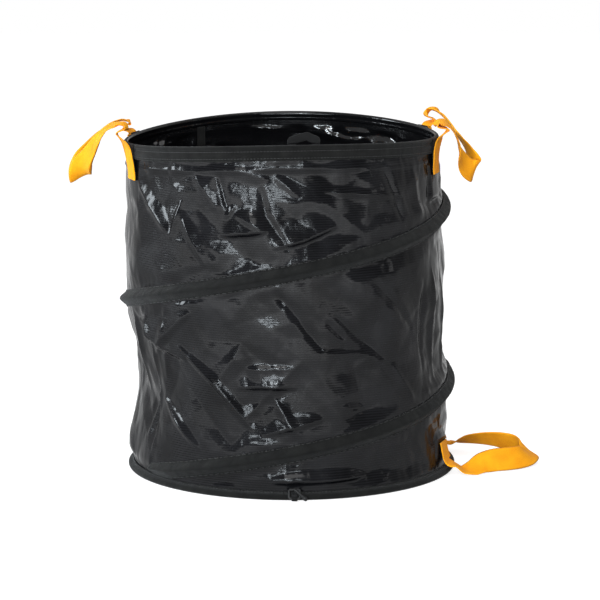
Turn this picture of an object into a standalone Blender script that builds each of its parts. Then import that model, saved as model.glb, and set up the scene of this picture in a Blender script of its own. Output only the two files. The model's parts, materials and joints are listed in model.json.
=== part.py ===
"""A pop up leaf bag: an open fabric cylinder held up by a coil of sprung wire.

Run with blender --background --python part.py. Units are metres, +Z is up, +X is to the right of the
bag's front, and the origin is on the floor under the middle of the base. Angles are in degrees, seen from
above, from +X towards +Y, so the front is at -90.
"""

import math

import bmesh
import bpy
from mathutils import Matrix, Vector

# The bag's stance, as it has settled: it leans, and its rim is not quite flat
RIM_HEIGHT = 0.4343
RIM_LEAN = -0.0134
RIM_SADDLE = 0.0057
RIM_TILT_X = 0.0034
RIM_TILT_Y = -0.0022

# Fabric wall: the outside radius where each ring of wire holds it
WALL = 0.0012
BASE_RADIUS = 0.2045
TURN_RADIUS = 0.2056
RIM_RADIUS = 0.1993
LEFT_PINCH = 0.030
PINCH = 0.0015
WALL_ROWS = 6
STEPS_PER_TURN = 60
STEP = 360 / STEPS_PER_TURN

# Sprung wire, and the crimped ferrules that close its two hoops
WIRE_RADIUS = 0.0016
WIRE_SIDES = 8
FERRULE_RADIUS = 0.0025
FERRULE_STEPS = 2
RIM_FERRULE_ANGLE = 78
BASE_FERRULE_ANGLE = 96
BUTT_GAP = 0.0006
CRIMP_SLIT = 50

# How far under the rim the spiral's middle passes +X, its climb in a turn, and how far it sags at the left
SPIRAL_FALL = 0.0935
SPIRAL_HEIGHT = RIM_HEIGHT - SPIRAL_FALL
SPIRAL_PITCH = 0.226
SPIRAL_SAG = 0.0098

# Tape sewn over the wires and edges
TAPE = 0.0012
CLEARANCE = 0.0003
HEM_DEPTH = 0.019
HEM_INNER_DEPTH = 0.012
SLEEVE_HEIGHT = 0.022
SLEEVE_PROUD = 0.0095
SLEEVE_END_HEIGHT = 0.0085
BINDING_HEIGHT = 0.0105
BINDING_PROUD = 0.0075
SEAM_TAPE_WIDTH = 0.012
SEAM_ANGLE = 123

# Floor panel
FLOOR = 0.0012
FLOOR_LIP = 0.009
WALL_FOOT = 0.001

# Webbing handles
WEBBING = 0.0016
WEBBING_WIDTH = 0.030
BACKING = 0.001
TAIL_DROP = 0.045
TAIL_FLARE = 0.005
TAIL_BEND = 0.002
PIVOT_RISE = 0.013
PIVOT_OUT = 0.003
PIVOT_REACH = 0.0003
BASE_TAIL_TOP = 0.043
BASE_TAIL_BEND = 0.005
BASE_PIVOT_GAP = 0.0016

# Closure: a strap loop at the rim and a ring with a toggle at the foot, both at the front
CLOSURE_ANGLE = -81.5
CLOSURE_WEBBING = 0.010
CLOSURE_THICKNESS = 0.0012
CLOSURE_SPREAD = 0.030
CLOSURE_RISE = 0.012
ANCHOR_DEPTH = 0.014
RING_X = 0.0035
RING_WIDTH = 0.0166
RING_HEIGHT = 0.0142
RING_BAND = 0.003
RING_THICKNESS = 0.0026
RING_CORNER = 0.004
RING_LEAN = 20
TAB = 0.001
TAB_WIDTH = 0.0075
TOGGLE_LENGTH = 0.021
TOGGLE_RADIUS = 0.0018
TOGGLE_HEAD = 0.0028
TOGGLE_TILT = -42

# Each free loop of webbing, root to tip: shares of (half spread, reach, drop), then the way its width points
HANGING_LOOP_SHARES = (
    ((1.00, 0.00, 0.00), (1.00, 0.00, 0.00)),
    ((1.00, 0.10, 0.10), (1.00, 0.00, 0.00)),
    ((0.98, 0.20, 0.15), (1.00, 0.00, -0.05)),
    ((0.91, 0.31, 0.16), (0.98, 0.00, -0.14)),
    ((0.80, 0.43, 0.10), (0.94, 0.00, -0.28)),
    ((0.65, 0.57, -0.05), (0.84, -0.26, -0.44)),
    ((0.50, 0.70, -0.22), (0.77, -0.45, -0.44)),
    ((0.36, 0.84, -0.42), (0.69, -0.62, -0.36)),
    ((0.24, 0.95, -0.63), (0.62, -0.76, -0.16)),
    ((0.14, 1.00, -0.83), (0.50, -0.85, 0.10)),
    ((0.07, 1.01, -0.96), (0.25, -0.90, 0.25)),
    ((0.00, 1.00, -1.00), (0.00, -0.92, 0.30)),
)
FLOOR_LOOP_SHARES = (
    ((1.00, 0.00, 0.00), (-1.00, 0.00, 0.00)),
    ((1.00, 0.05, -0.40), (-1.00, 0.00, 0.00)),
    ((1.00, 0.11, -0.72), (-1.00, 0.00, 0.06)),
    ((0.94, 0.21, -0.60), (-0.92, 0.00, 0.38)),
    ((0.84, 0.34, -0.12), (-0.66, 0.00, 0.75)),
    ((0.76, 0.48, 0.10), (-0.42, 0.00, 0.91)),
    ((0.69, 0.62, 0.14), (-0.34, 0.00, 0.94)),
    ((0.58, 0.75, 0.16), (-0.30, -0.20, 0.93)),
    ((0.40, 0.85, 0.16), (-0.18, -0.56, 0.81)),
    ((0.18, 0.89, 0.10), (-0.07, -0.82, 0.57)),
    ((0.00, 0.90, 0.06), (0.00, -0.90, 0.44)),
)

# tilt lifts the loop's end on its + side above the other, and yaw turns its tip about the upright
HANDLES = {
    "left": {"angle": 180, "tail_angle": 20, "reach": 0.060, "drop": 0.063, "tilt": 0.085, "yaw": 24},
    "right": {"angle": 4, "tail_angle": 20, "reach": 0.044, "drop": 0.069, "tilt": -0.035, "yaw": -26},
    "base": {"angle": 0, "tail_angle": 18, "reach": 0.112, "drop": 0.0125, "tilt": 0, "yaw": 0},
}

# Colour, roughness and metallic value of each material
MATERIALS = {
    "coated_fabric": ((0.018, 0.018, 0.020), 0.30, 0.0),
    "binding_tape": ((0.022, 0.022, 0.021), 0.85, 0.0),
    "orange_webbing": ((0.93, 0.36, 0.02), 0.75, 0.0),
    "black_webbing": ((0.015, 0.015, 0.015), 0.80, 0.0),
    "spring_steel": ((0.45, 0.45, 0.46), 0.35, 1.0),
    "black_plastic": ((0.020, 0.020, 0.020), 0.45, 0.0),
}


def cos(degrees):
    return math.cos(math.radians(degrees))


def sin(degrees):
    return math.sin(math.radians(degrees))


def outward(angle):
    return Vector((cos(angle), sin(angle), 0))


def sideways(angle):
    return Vector((-sin(angle), cos(angle), 0))


def lean(z):
    return RIM_LEAN * z / RIM_HEIGHT


def place(angle, radius, z):
    """A point of the leaning bag."""
    return Vector((lean(z), 0, z)) + radius * outward(angle)


def rim_top(angle):
    """Height of the hem's top: the rim droops at its sides and tilts a little."""
    return RIM_HEIGHT - RIM_SADDLE * cos(2 * angle) + RIM_TILT_X * cos(angle) + RIM_TILT_Y * sin(angle)


def hem_foot(angle):
    return rim_top(angle) - HEM_DEPTH


def spiral_height(turned):
    """Height of the spiral's middle at an angle counted on past a whole turn."""
    return SPIRAL_HEIGHT + SPIRAL_PITCH * turned / 360 - SPIRAL_SAG * ((1 - cos(turned)) / 2) ** 3


def sleeve_edges(turned):
    """Heights of the spiral sleeve's two sewn edges, cut off by the hem above and the binding below."""
    middle = spiral_height(turned)
    high = min(middle + SLEEVE_HEIGHT / 2, hem_foot(turned) - CLEARANCE)
    low = max(middle - SLEEVE_HEIGHT / 2, BINDING_HEIGHT + CLEARANCE)
    return low, high


def spiral_angles():
    """The steps of the spiral, from its start under the hem down to the binding."""
    turned = [180 - STEP * n for n in range(3 * STEPS_PER_TURN)]
    return [a for a in turned if sleeve_edges(a)[1] - sleeve_edges(a)[0] >= SLEEVE_END_HEIGHT]


SPIRAL_ANGLES = spiral_angles()


def turn_rings(angle):
    """(height, wall radius) where the spiral passes this angle, from the lowest; a hoop draws in the ends."""
    turned = angle + 360 * math.ceil((SPIRAL_ANGLES[-1] - angle) / 360)
    rings = []
    while turned <= SPIRAL_ANGLES[0]:
        height = sum(sleeve_edges(turned)) / 2
        near_rim = max(0, 1 - (hem_foot(angle) - height) / (2 * SLEEVE_HEIGHT))
        near_base = max(0, 1 - (height - BINDING_HEIGHT) / (2 * SLEEVE_HEIGHT))
        radius = TURN_RADIUS + near_rim * (RIM_RADIUS - TURN_RADIUS) + near_base * (BASE_RADIUS - TURN_RADIUS)
        rings.append((height, radius))
        turned += 360
    return rings


def wall_rows(angle):
    """(height, outside radius) up the wall: held out at each ring of wire and pinched between them."""
    top = hem_foot(angle)
    rings = [(BINDING_HEIGHT, BASE_RADIUS), *turn_rings(angle), (top, RIM_RADIUS)]
    rows = [(WALL_FOOT, BASE_RADIUS)]
    for n in range(WALL_ROWS + 2):
        z = BINDING_HEIGHT + (top - BINDING_HEIGHT) * n / (WALL_ROWS + 1)
        span = sum(height < z for height, _ in rings[1:-1])
        (low, low_radius), (high, high_radius) = rings[span : span + 2]
        share = min(1, (z - low) / (high - low))
        low_down = max(0, 1 - (low + high) / RIM_HEIGHT)
        pinch = PINCH + LEFT_PINCH * low_down * max(0, -cos(angle)) ** 2
        depth = pinch * ((high - low) / SPIRAL_PITCH) ** 2 * sin(180 * share) ** 2
        rows.append((z, low_radius + (high_radius - low_radius) * share - depth))
    rows.append((rim_top(angle) - TAPE - 2 * FERRULE_RADIUS - 2 * CLEARANCE, RIM_RADIUS))
    return rows


def wall_radius(angle, z):
    """The wall's outside radius at a height, on the straight lines between its rows."""
    rows = wall_rows(angle)
    for (low, low_radius), (high, high_radius) in zip(rows, rows[1:]):
        if z <= high:
            break
    share = min(1, max(0, (z - low) / (high - low)))
    return low_radius + (high_radius - low_radius) * share


def arc(centre, radius, start, end, count):
    """Points of an arc in a radial section, as (radius, height)."""
    turns = [start + (end - start) * n / (count - 1) for n in range(count)]
    return [(centre[0] + radius * cos(a), centre[1] + radius * sin(a)) for a in turns]


def material(name):
    made = bpy.data.materials.get(name)
    if made is None:
        colour, roughness, metallic = MATERIALS[name]
        made = bpy.data.materials.new(name)
        made.use_nodes = True
        shader = made.node_tree.nodes["Principled BSDF"]
        shader.inputs["Base Color"].default_value = (*colour, 1)
        shader.inputs["Roughness"].default_value = roughness
        shader.inputs["Metallic"].default_value = metallic
    return made


def body(name, bm, finish, origin=(0, 0, 0)):
    """An object from a bmesh in world space, with its origin at a given point."""
    bmesh.ops.recalc_face_normals(bm, faces=bm.faces)
    if bm.calc_volume(signed=True) < 0:
        bmesh.ops.reverse_faces(bm, faces=bm.faces)
    bmesh.ops.translate(bm, vec=-Vector(origin), verts=bm.verts)
    mesh = bpy.data.meshes.new(name)
    bm.to_mesh(mesh)
    bm.free()
    mesh.materials.append(material(finish))
    mesh.shade_smooth()
    mesh.set_sharp_from_angle(angle=math.radians(35))
    made = bpy.data.objects.new(name, mesh)
    made.location = origin
    bpy.context.collection.objects.link(made)
    return made


def skin(name, sections, finish, closed=False, origin=(0, 0, 0)):
    """A solid through a row of sections, each a loop of as many points; its ends meet or are capped."""
    bm = bmesh.new()
    loops = [[bm.verts.new(point) for point in section] for section in sections]
    pairs = list(zip(loops, loops[1:] + loops[:1])) if closed else list(zip(loops, loops[1:]))
    for here, there in pairs:
        for n in range(len(here)):
            m = (n + 1) % len(here)
            bm.faces.new((here[n], here[m], there[m], there[n]))
    if not closed:
        bm.faces.new(loops[0])
        bm.faces.new(loops[-1])
    bmesh.ops.triangulate(bm, faces=bm.faces)
    return body(name, bm, finish, origin)


def around(name, profile, angles, finish, closed=False):
    """A solid whose radial section at each angle is profile(angle), a loop of (radius, height)."""
    sections = [[place(a, radius, z) for radius, z in profile(a)] for a in angles]
    return skin(name, sections, finish, closed)


def full_turn():
    return [STEP * n for n in range(STEPS_PER_TURN)]


def ferrule_angles(start):
    return [start + STEP * n for n in range(FERRULE_STEPS + 1)]


def hoop_angles(ferrule_start, radius):
    """Once round from the middle of the ferrule, where the wire's two ends butt."""
    joint = ferrule_start + STEP * FERRULE_STEPS / 2
    slack = math.degrees(BUTT_GAP / radius)
    inner = [joint + STEP * n for n in range(1, STEPS_PER_TURN)]
    return [joint + slack, *inner, joint + 360 - slack]


def rim_wire_place(angle):
    channel = WIRE_RADIUS + CLEARANCE + swell(angle, RIM_FERRULE_ANGLE)
    return RIM_RADIUS - WALL / 2, rim_top(angle) - TAPE - channel


def base_wire_place(angle):
    cover = TAPE + CLEARANCE + FERRULE_RADIUS
    return BASE_RADIUS + BINDING_PROUD - cover, cover


def spiral_wire_place(turned):
    """The wire lies in the ridge of its sleeve, and nearer to the wall where the sleeve runs out."""
    low, high = sleeve_edges(turned)
    middle = (low + high) / 2
    full = min(1, (high - low - SLEEVE_END_HEIGHT) / (SLEEVE_HEIGHT - SLEEVE_END_HEIGHT))
    least = CLEARANCE + WIRE_RADIUS
    proud = least + full * (SLEEVE_PROUD - TAPE - CLEARANCE - WIRE_RADIUS - least)
    return wall_radius(turned, middle) + proud, middle


def swell(angle, ferrule_start):
    """How much wider the hem's channel is where it goes round the ferrule."""
    inside = min(abs((angle - a + 180) % 360 - 180) for a in ferrule_angles(ferrule_start)) < STEP / 2
    return (FERRULE_RADIUS - WIRE_RADIUS) * inside


def wire(name, spot, angles):
    def profile(angle):
        return arc(spot(angle), WIRE_RADIUS, 0, 360 - 360 / WIRE_SIDES, WIRE_SIDES)

    return around(name, profile, angles, "spring_steel")


def ferrule(name, spot, start):
    """A crimped tube, split along its inner side."""

    def profile(angle):
        centre, bore = spot(angle), WIRE_RADIUS + CLEARANCE
        first, last = 180 + CRIMP_SLIT / 2, 540 - CRIMP_SLIT / 2
        return arc(centre, FERRULE_RADIUS, first, last, 9) + arc(centre, bore, last, first, 9)

    return around(name, profile, ferrule_angles(start), "spring_steel")


def hem_profile(angle):
    """Tape folded over the hoop and down both faces of the wall, pinched in by its stitching."""
    centre = rim_wire_place(angle)
    channel = WIRE_RADIUS + CLEARANCE + swell(angle, RIM_FERRULE_ANGLE)
    outer_face = RIM_RADIUS + CLEARANCE
    inner_face = RIM_RADIUS - WALL - CLEARANCE
    outer_foot, inner_foot = hem_foot(angle), rim_top(angle) - HEM_INNER_DEPTH
    return [
        (outer_face, outer_foot),
        (outer_face + TAPE, outer_foot),
        *arc(centre, channel + TAPE, -40, 220, 8),
        (inner_face - TAPE, inner_foot),
        (inner_face, inner_foot),
        *arc(centre, channel, 230, -50, 7),
    ]


def sleeve_profile(turned):
    """Tape sewn to the wall along both edges, standing out in a ridge over the wire."""
    low, high = sleeve_edges(turned)
    centre = spiral_wire_place(turned)
    channel = WIRE_RADIUS + CLEARANCE
    slope = min(1.6 * TAPE, (high - low) / 4)

    def toe(z):
        return wall_radius(turned, z) + CLEARANCE, z

    return [
        toe(high),
        *arc(centre, channel + TAPE, 55, -55, 5),
        toe(low),
        toe(low + slope),
        *arc(centre, channel, -55, 55, 5),
        toe(high - slope),
    ]


def binding_profile(angle):
    """Tape over the foot of the wall and the base hoop, flat where the bag stands."""
    centre = base_wire_place(angle)
    channel = FERRULE_RADIUS + CLEARANCE
    face = BASE_RADIUS + CLEARANCE
    return [
        (face, 0),
        *arc(centre, channel + TAPE, -90, 70, 6),
        (face, BINDING_HEIGHT),
        (face, BINDING_HEIGHT - TAPE),
        *arc(centre, channel, 60, -80, 6),
        (face, TAPE),
    ]


def bag_wall():
    def profile(angle):
        rows = wall_rows(angle)
        return [(radius, z) for z, radius in rows] + [(radius - WALL, z) for z, radius in rows[::-1]]

    return around("bag_wall", profile, full_turn(), "coated_fabric", closed=True)


def floor_panel():
    """A disc whose edge is turned up inside the foot of the wall."""
    bm = bmesh.new()
    rings = []
    for height, inset in ((0, 0), (FLOOR_LIP, 0), (FLOOR_LIP, FLOOR), (FLOOR, FLOOR)):
        ring = []
        for angle in full_turn():
            radius = wall_radius(angle, height) - WALL - CLEARANCE - inset
            ring.append(bm.verts.new(place(angle, radius, height)))
        rings.append(ring)
    for here, there in zip(rings, rings[1:]):
        for n in range(STEPS_PER_TURN):
            m = (n + 1) % STEPS_PER_TURN
            bm.faces.new((here[n], here[m], there[m], there[n]))
    for ring, height in ((rings[0], 0), (rings[-1], FLOOR)):
        middle = bm.verts.new((0, 0, height))
        for n in range(STEPS_PER_TURN):
            bm.faces.new((ring[n], ring[(n + 1) % STEPS_PER_TURN], middle))
    bmesh.ops.triangulate(bm, faces=bm.faces)
    return body("floor_panel", bm, "coated_fabric")


def strap(name, route, width, thickness, finish, origin=(0, 0, 0)):
    """A flat band along a route of (point, the way its width points)."""
    sections = []
    for n, (point, across) in enumerate(route):
        ahead = route[min(n + 1, len(route) - 1)][0] - route[max(n - 1, 0)][0]
        across = (across - across.project(ahead)).normalized() * width / 2
        through = ahead.cross(across).normalized() * thickness / 2
        corners = (across + through, across - through, -across - through, through - across)
        sections.append([point + corner for corner in corners])
    return skin(name, sections, finish, origin=origin)


def wall_seam_tape():
    """Tape inside the wall over the seam that closes it, in the middle of a facet."""
    foot, top = FLOOR_LIP + CLEARANCE, rim_top(SEAM_ANGLE) - HEM_INNER_DEPTH - CLEARANCE
    heights = [foot, *(z for z, _ in wall_rows(SEAM_ANGLE) if foot < z < top), top]
    route = []
    for z in heights:
        beside = min(wall_radius(SEAM_ANGLE - STEP / 2, z), wall_radius(SEAM_ANGLE + STEP / 2, z))
        radius = (beside - WALL) * cos(STEP / 2) - CLEARANCE - TAPE / 2
        route.append((place(SEAM_ANGLE, radius, z), sideways(SEAM_ANGLE)))
    return strap("wall_seam_tape", route, SEAM_TAPE_WIDTH, TAPE, "binding_tape")


def hem_skirt(angle):
    """(height, radius) that whatever is sewn over the hem's outside has to clear, up from a tail's foot."""
    top = rim_top(angle)
    crown = RIM_RADIUS - WALL / 2 + WIRE_RADIUS + CLEARANCE + TAPE
    below = [(z, wall_radius(angle, z)) for z in (top - TAIL_DROP, top - 2 * HEM_DEPTH)]
    return [*below, (hem_foot(angle), crown), (top, crown)]


def pivot_of(handle):
    """(radial distance, half spread, height) of an upper handle's swing axis."""
    crown = hem_skirt(handle["angle"])[-1][1]
    radius = crown + 2 * CLEARANCE + BACKING + WEBBING / 2 + TAIL_FLARE
    out = radius * cos(handle["tail_angle"]) + PIVOT_OUT
    return out, radius * sin(handle["tail_angle"]), rim_top(handle["angle"]) + PIVOT_RISE


def hinge_gap():
    """From the swing axis to the sewn end, clear of the loop's turning corner."""
    return math.hypot(PIVOT_REACH, WEBBING / 2) + CLEARANCE


def upper_handle(name, handle):
    """Two sewn tails with their backing patches, and the free loop between them."""
    out, spread, height = pivot_of(handle)
    axis = swing_axis(handle)
    up = outward(handle["angle"]).cross(axis)
    middle = Vector((lean(height), 0, height)) + out * outward(handle["angle"])
    for side, word in handle["sides"]:
        angle = handle["angle"] + side * handle["tail_angle"]
        skirt = hem_skirt(angle)
        backing, tail = CLEARANCE + BACKING / 2, 2 * CLEARANCE + BACKING + WEBBING / 2
        route = [(place(angle, r + backing, z), sideways(angle)) for z, r in skirt]
        strap(f"{name}_{word}_backing", route, WEBBING_WIDTH, BACKING, "black_webbing")
        route = [(place(angle, r + tail, z), sideways(angle)) for z, r in skirt[:-1]]
        top_height, top_radius = skirt[-1]
        route.append((place(angle, top_radius + tail + TAIL_FLARE, top_height), sideways(angle)))
        end = middle + side * spread * axis - hinge_gap() * up
        route.append((end - TAIL_BEND * up, axis))
        route.append((end, axis))
        strap(f"{name}_{word}_tail", route, WEBBING_WIDTH, WEBBING, "orange_webbing")
    free_loop(f"{name}_handle_loop", handle, HANGING_LOOP_SHARES, middle, spread)


def swing_axis(handle):
    """The line through a loop's two sewn ends."""
    return (sideways(handle["angle"]) + Vector((0, 0, handle["tilt"]))).normalized()


def free_loop(name, handle, shares, middle, spread):
    """A loop of webbing from one sewn end to the other, alike on both sides of its tip until the tip is turned."""
    side, out = swing_axis(handle), outward(handle["angle"])
    up = out.cross(side)
    stations = list(shares) + [((-a, r, d), (-ws, wo, wu)) for (a, r, d), (ws, wo, wu) in shares[-2::-1]]
    tip = middle + shares[-1][0][1] * handle["reach"] * out
    route = []
    for (across, reach, drop), (w_side, w_out, w_up) in stations:
        near_tip = 1 - abs(across)
        turn = Matrix.Rotation(math.radians(handle["yaw"] * near_tip**2 * (3 - 2 * near_tip)), 3, up)
        spot = middle + across * spread * side + reach * handle["reach"] * out
        point = tip + turn @ (spot - tip) + drop * handle["drop"] * up
        route.append((point, turn @ (w_side * side + w_out * out + w_up * up)))
    for end, beside in ((0, 1), (-1, -2)):
        back = (route[end][0] - route[beside][0]).normalized() * PIVOT_REACH
        route[end] = (route[end][0] + back, route[end][1])
    strap(name, route, WEBBING_WIDTH, WEBBING, "orange_webbing", origin=middle)


def base_handle(handle):
    """Tails sewn up the wall from over the binding, and a loop that stands on its edge on the floor."""
    inner_edge = BASE_RADIUS * sin(handle["tail_angle"]) - WEBBING_WIDTH / 2
    height = BINDING_HEIGHT + CLEARANCE + WEBBING / 2 + BASE_PIVOT_GAP
    rim = BASE_RADIUS + BINDING_PROUD
    out = math.sqrt(rim**2 - inner_edge**2) + BASE_PIVOT_GAP
    spread = BASE_RADIUS * sin(handle["tail_angle"])
    axis = sideways(handle["angle"])
    middle = out * outward(handle["angle"]) + Vector((0, 0, height))
    for side, word in ((-1, "front"), (1, "rear")):
        angle = handle["angle"] + side * handle["tail_angle"]
        bend = height + BASE_TAIL_BEND
        route = []
        for z in (BASE_TAIL_TOP, (BASE_TAIL_TOP + bend) / 2, bend):
            radius = wall_radius(angle, z) + CLEARANCE + WEBBING / 2
            route.append((place(angle, radius, z), sideways(angle)))
        end = middle + side * spread * axis - hinge_gap() * outward(handle["angle"])
        route.append((end - BASE_TAIL_BEND * outward(handle["angle"]), axis))
        route.append((end, axis))
        strap(f"base_{word}_tail", route, WEBBING_WIDTH, WEBBING, "orange_webbing")
    free_loop("base_handle_loop", handle, FLOOR_LOOP_SHARES, middle, spread)


def closure_strap():
    """A loop of narrow webbing that stands behind the front lip, and its two sewn feet inside the hem."""
    crown = (RIM_RADIUS - WALL / 2 - WIRE_RADIUS - CLEARANCE - TAPE) * cos(STEP / 2)
    radius = crown - CLEARANCE - CLOSURE_THICKNESS / 2
    height = rim_top(CLOSURE_ANGLE) + CLEARANCE + CLOSURE_THICKNESS
    half = CLOSURE_SPREAD / 2
    foot_angle = math.degrees(math.asin(half / radius))
    middle = Vector((lean(height), 0, height)) + radius * cos(foot_angle) * outward(CLOSURE_ANGLE)
    gap = math.hypot(PIVOT_REACH, CLOSURE_THICKNESS / 2) + 2 * CLEARANCE
    right, up = sideways(CLOSURE_ANGLE), Vector((0, 0, 1))
    for side, word in ((-1, "left"), (1, "right")):
        angle = CLOSURE_ANGLE + side * foot_angle
        low = place(angle, radius, height - gap - ANCHOR_DEPTH)
        high = middle + side * half * right - gap * up
        strap(
            f"closure_strap_{word}_foot",
            [(low, sideways(angle)), (high, right)],
            CLOSURE_WEBBING,
            CLOSURE_THICKNESS,
            "black_webbing",
        )
    root = CLOSURE_WEBBING / 3
    places = [(-half, -PIVOT_REACH), (-half, root), (0, CLOSURE_RISE), (half, root), (half, -PIVOT_REACH)]
    ways = [right, right, -up, -right, -right]
    route = [(middle + x * right + z * up, way) for (x, z), way in zip(places, ways)]
    strap("closure_strap", route, CLOSURE_WEBBING, CLOSURE_THICKNESS, "black_webbing", origin=middle)


def rounded(width, height, corner, base, steps=4):
    """A rounded rectangle standing on a given height, as (x, y) from its right foot round."""
    points = []
    half = width / 2 - corner
    corners = ((half, base + corner, -90), (half, base + height - corner, 0))
    corners += ((-half, base + height - corner, 90), (-half, base + corner, 180))
    for x, y, start in corners:
        points += arc((x, y), corner, start, start + 90, steps)
    return points


def closure_ring():
    """A moulded ring that leans on the foot of the wall, its tab, and the toggle that hangs at it."""
    bore = math.hypot(RING_BAND, RING_THICKNESS) / 2 + CLEARANCE
    axis_height = bore + TAB + CLEARANCE
    axis_out = BASE_RADIUS + BINDING_PROUD + CLEARANCE + bore + TAB
    middle = Vector((RING_X, -axis_out, axis_height))
    right = Vector((1, 0, 0))
    up = Vector((0, sin(RING_LEAN), cos(RING_LEAN)))
    out = right.cross(up)
    outer = rounded(RING_WIDTH, RING_HEIGHT, RING_CORNER, -RING_BAND / 2)
    hole = (RING_WIDTH - 2 * RING_BAND, RING_HEIGHT - 2 * RING_BAND)
    inner = rounded(*hole, RING_CORNER - RING_BAND, RING_BAND / 2)
    loops = []
    for (a, b), (c, d) in zip(outer, inner):
        section = []
        for x, y, z in ((a, b, 0.5), (a, b, -0.5), (c, d, -0.5), (c, d, 0.5)):
            section.append(middle + x * right + y * up + z * RING_THICKNESS * out)
        loops.append(section)
    skin("closure_ring", loops, "black_plastic", closed=True, origin=middle)
    closure_tab(middle, bore)
    closure_toggle(middle, right, up, out)


def closure_tab(middle, bore):
    """Tape round the ring's lower bar, whose two ends run back to the round of the binding."""
    wire_out, wire_height = base_wire_place(-90)
    reach = FERRULE_RADIUS + 2 * CLEARANCE + TAPE

    def end(rise):
        """A corner of the tape's end at a height above the bar, as (distance out from the bar, height)."""
        level = middle.z + rise - wire_height
        return wire_out + math.sqrt(reach**2 - level**2) + middle.y, rise

    edge = bore + TAB
    around_bar = arc((0, 0), edge, -90, 90, 7)
    under_tape = arc((0, 0), bore, 90, -90, 7)
    loop = [end(-edge), *around_bar, end(edge), end(bore), *under_tape, end(-bore)]
    sections = []
    for x in (-TAB_WIDTH / 2, TAB_WIDTH / 2):
        sections.append([middle + Vector((x, -a, b)) for a, b in loop])
    skin("closure_tab", sections, "black_webbing")


def closure_toggle(middle, right, up, out):
    """A short peg with a round head, hanging across the front of the ring."""
    shank, head, tip = 0.62 * TOGGLE_LENGTH, 0.8 * TOGGLE_LENGTH, TOGGLE_LENGTH
    along = cos(TOGGLE_TILT) * right + sin(TOGGLE_TILT) * up
    across = cos(TOGGLE_TILT) * up - sin(TOGGLE_TILT) * right
    start = middle + (RING_HEIGHT - RING_BAND) * up + (RING_THICKNESS / 2 + CLEARANCE + TOGGLE_RADIUS) * out
    outline = ((0, 0.7 * TOGGLE_RADIUS), (0.1 * shank, TOGGLE_RADIUS), (shank, TOGGLE_RADIUS))
    outline += ((0.9 * head, TOGGLE_HEAD), (head, TOGGLE_HEAD), (tip, 0.6 * TOGGLE_HEAD))
    sections = []
    for distance, radius in outline:
        ring = arc((0, 0), radius, 0, 360 - 360 / WIRE_SIDES, WIRE_SIDES)
        sections.append([start + distance * along + a * across + b * out for a, b in ring])
    skin("closure_toggle", sections, "black_plastic", origin=middle)


def main():
    for old in list(bpy.data.objects):
        bpy.data.objects.remove(old)
    bag_wall()
    floor_panel()
    wall_seam_tape()
    around("rim_hem", hem_profile, full_turn(), "binding_tape", closed=True)
    around("spiral_sleeve", sleeve_profile, SPIRAL_ANGLES, "binding_tape")
    around("base_binding", binding_profile, full_turn(), "binding_tape", closed=True)
    wire("rim_hoop_wire", rim_wire_place, hoop_angles(RIM_FERRULE_ANGLE, RIM_RADIUS))
    wire("base_hoop_wire", base_wire_place, hoop_angles(BASE_FERRULE_ANGLE, BASE_RADIUS))
    wire("spiral_wire", spiral_wire_place, SPIRAL_ANGLES)
    ferrule("rim_wire_ferrule", rim_wire_place, RIM_FERRULE_ANGLE)
    ferrule("base_wire_ferrule", base_wire_place, BASE_FERRULE_ANGLE)
    upper_handle("left", HANDLES["left"] | {"sides": ((1, "front"), (-1, "rear"))})
    upper_handle("right", HANDLES["right"] | {"sides": ((-1, "front"), (1, "rear"))})
    base_handle(HANDLES["base"])
    closure_strap()
    closure_ring()


main()
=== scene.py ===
"""Looks for the pop up leaf bag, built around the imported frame.

Units are metres and +Z is up. Angles are in degrees seen from above, from +X towards +Y, so the front is at
-90. Heights and radii repeat the formulas of the part, so that each dressed piece lies where its solid does.
"""

import json
import math

import bpy
import numpy as np
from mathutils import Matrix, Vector, noise
from mathutils.geometry import delaunay_2d_cdt


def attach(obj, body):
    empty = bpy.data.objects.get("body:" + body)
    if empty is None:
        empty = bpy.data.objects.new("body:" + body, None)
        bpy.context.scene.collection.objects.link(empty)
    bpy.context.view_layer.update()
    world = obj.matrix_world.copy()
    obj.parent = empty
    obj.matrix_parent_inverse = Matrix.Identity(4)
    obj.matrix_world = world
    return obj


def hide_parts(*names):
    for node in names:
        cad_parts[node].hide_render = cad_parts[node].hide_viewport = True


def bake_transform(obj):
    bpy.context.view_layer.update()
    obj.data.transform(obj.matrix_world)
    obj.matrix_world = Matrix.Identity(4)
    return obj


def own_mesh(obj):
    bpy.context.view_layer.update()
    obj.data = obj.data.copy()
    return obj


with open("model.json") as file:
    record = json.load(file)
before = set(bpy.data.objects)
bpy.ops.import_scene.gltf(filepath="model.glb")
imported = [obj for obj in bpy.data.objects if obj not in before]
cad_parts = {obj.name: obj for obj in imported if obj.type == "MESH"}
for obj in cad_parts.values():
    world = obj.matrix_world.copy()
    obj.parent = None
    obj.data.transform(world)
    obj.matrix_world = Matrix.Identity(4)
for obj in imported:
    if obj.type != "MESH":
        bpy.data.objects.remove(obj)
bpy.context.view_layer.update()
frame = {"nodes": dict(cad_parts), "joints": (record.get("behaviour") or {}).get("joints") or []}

# The bag's stance
RIM_HEIGHT = 0.4343
RIM_LEAN = -0.0134
RIM_SADDLE = 0.0057
RIM_TILT_X = 0.0034
RIM_TILT_Y = -0.0022

# Fabric wall
WALL = 0.0012
BASE_RADIUS = 0.2045
TURN_RADIUS = 0.2056
RIM_RADIUS = 0.1993
LEFT_PINCH = 0.030
PINCH = 0.0015
STEP = 6

# Wire, and the ferrules that close the hoops
WIRE_RADIUS = 0.0016
FERRULE_RADIUS = 0.0025
FERRULE_STEPS = 2
RIM_FERRULE_ANGLE = 78

# Spiral
SPIRAL_FALL = 0.0935
SPIRAL_HEIGHT = RIM_HEIGHT - SPIRAL_FALL
SPIRAL_PITCH = 0.226
SPIRAL_SAG = 0.0098

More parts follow.
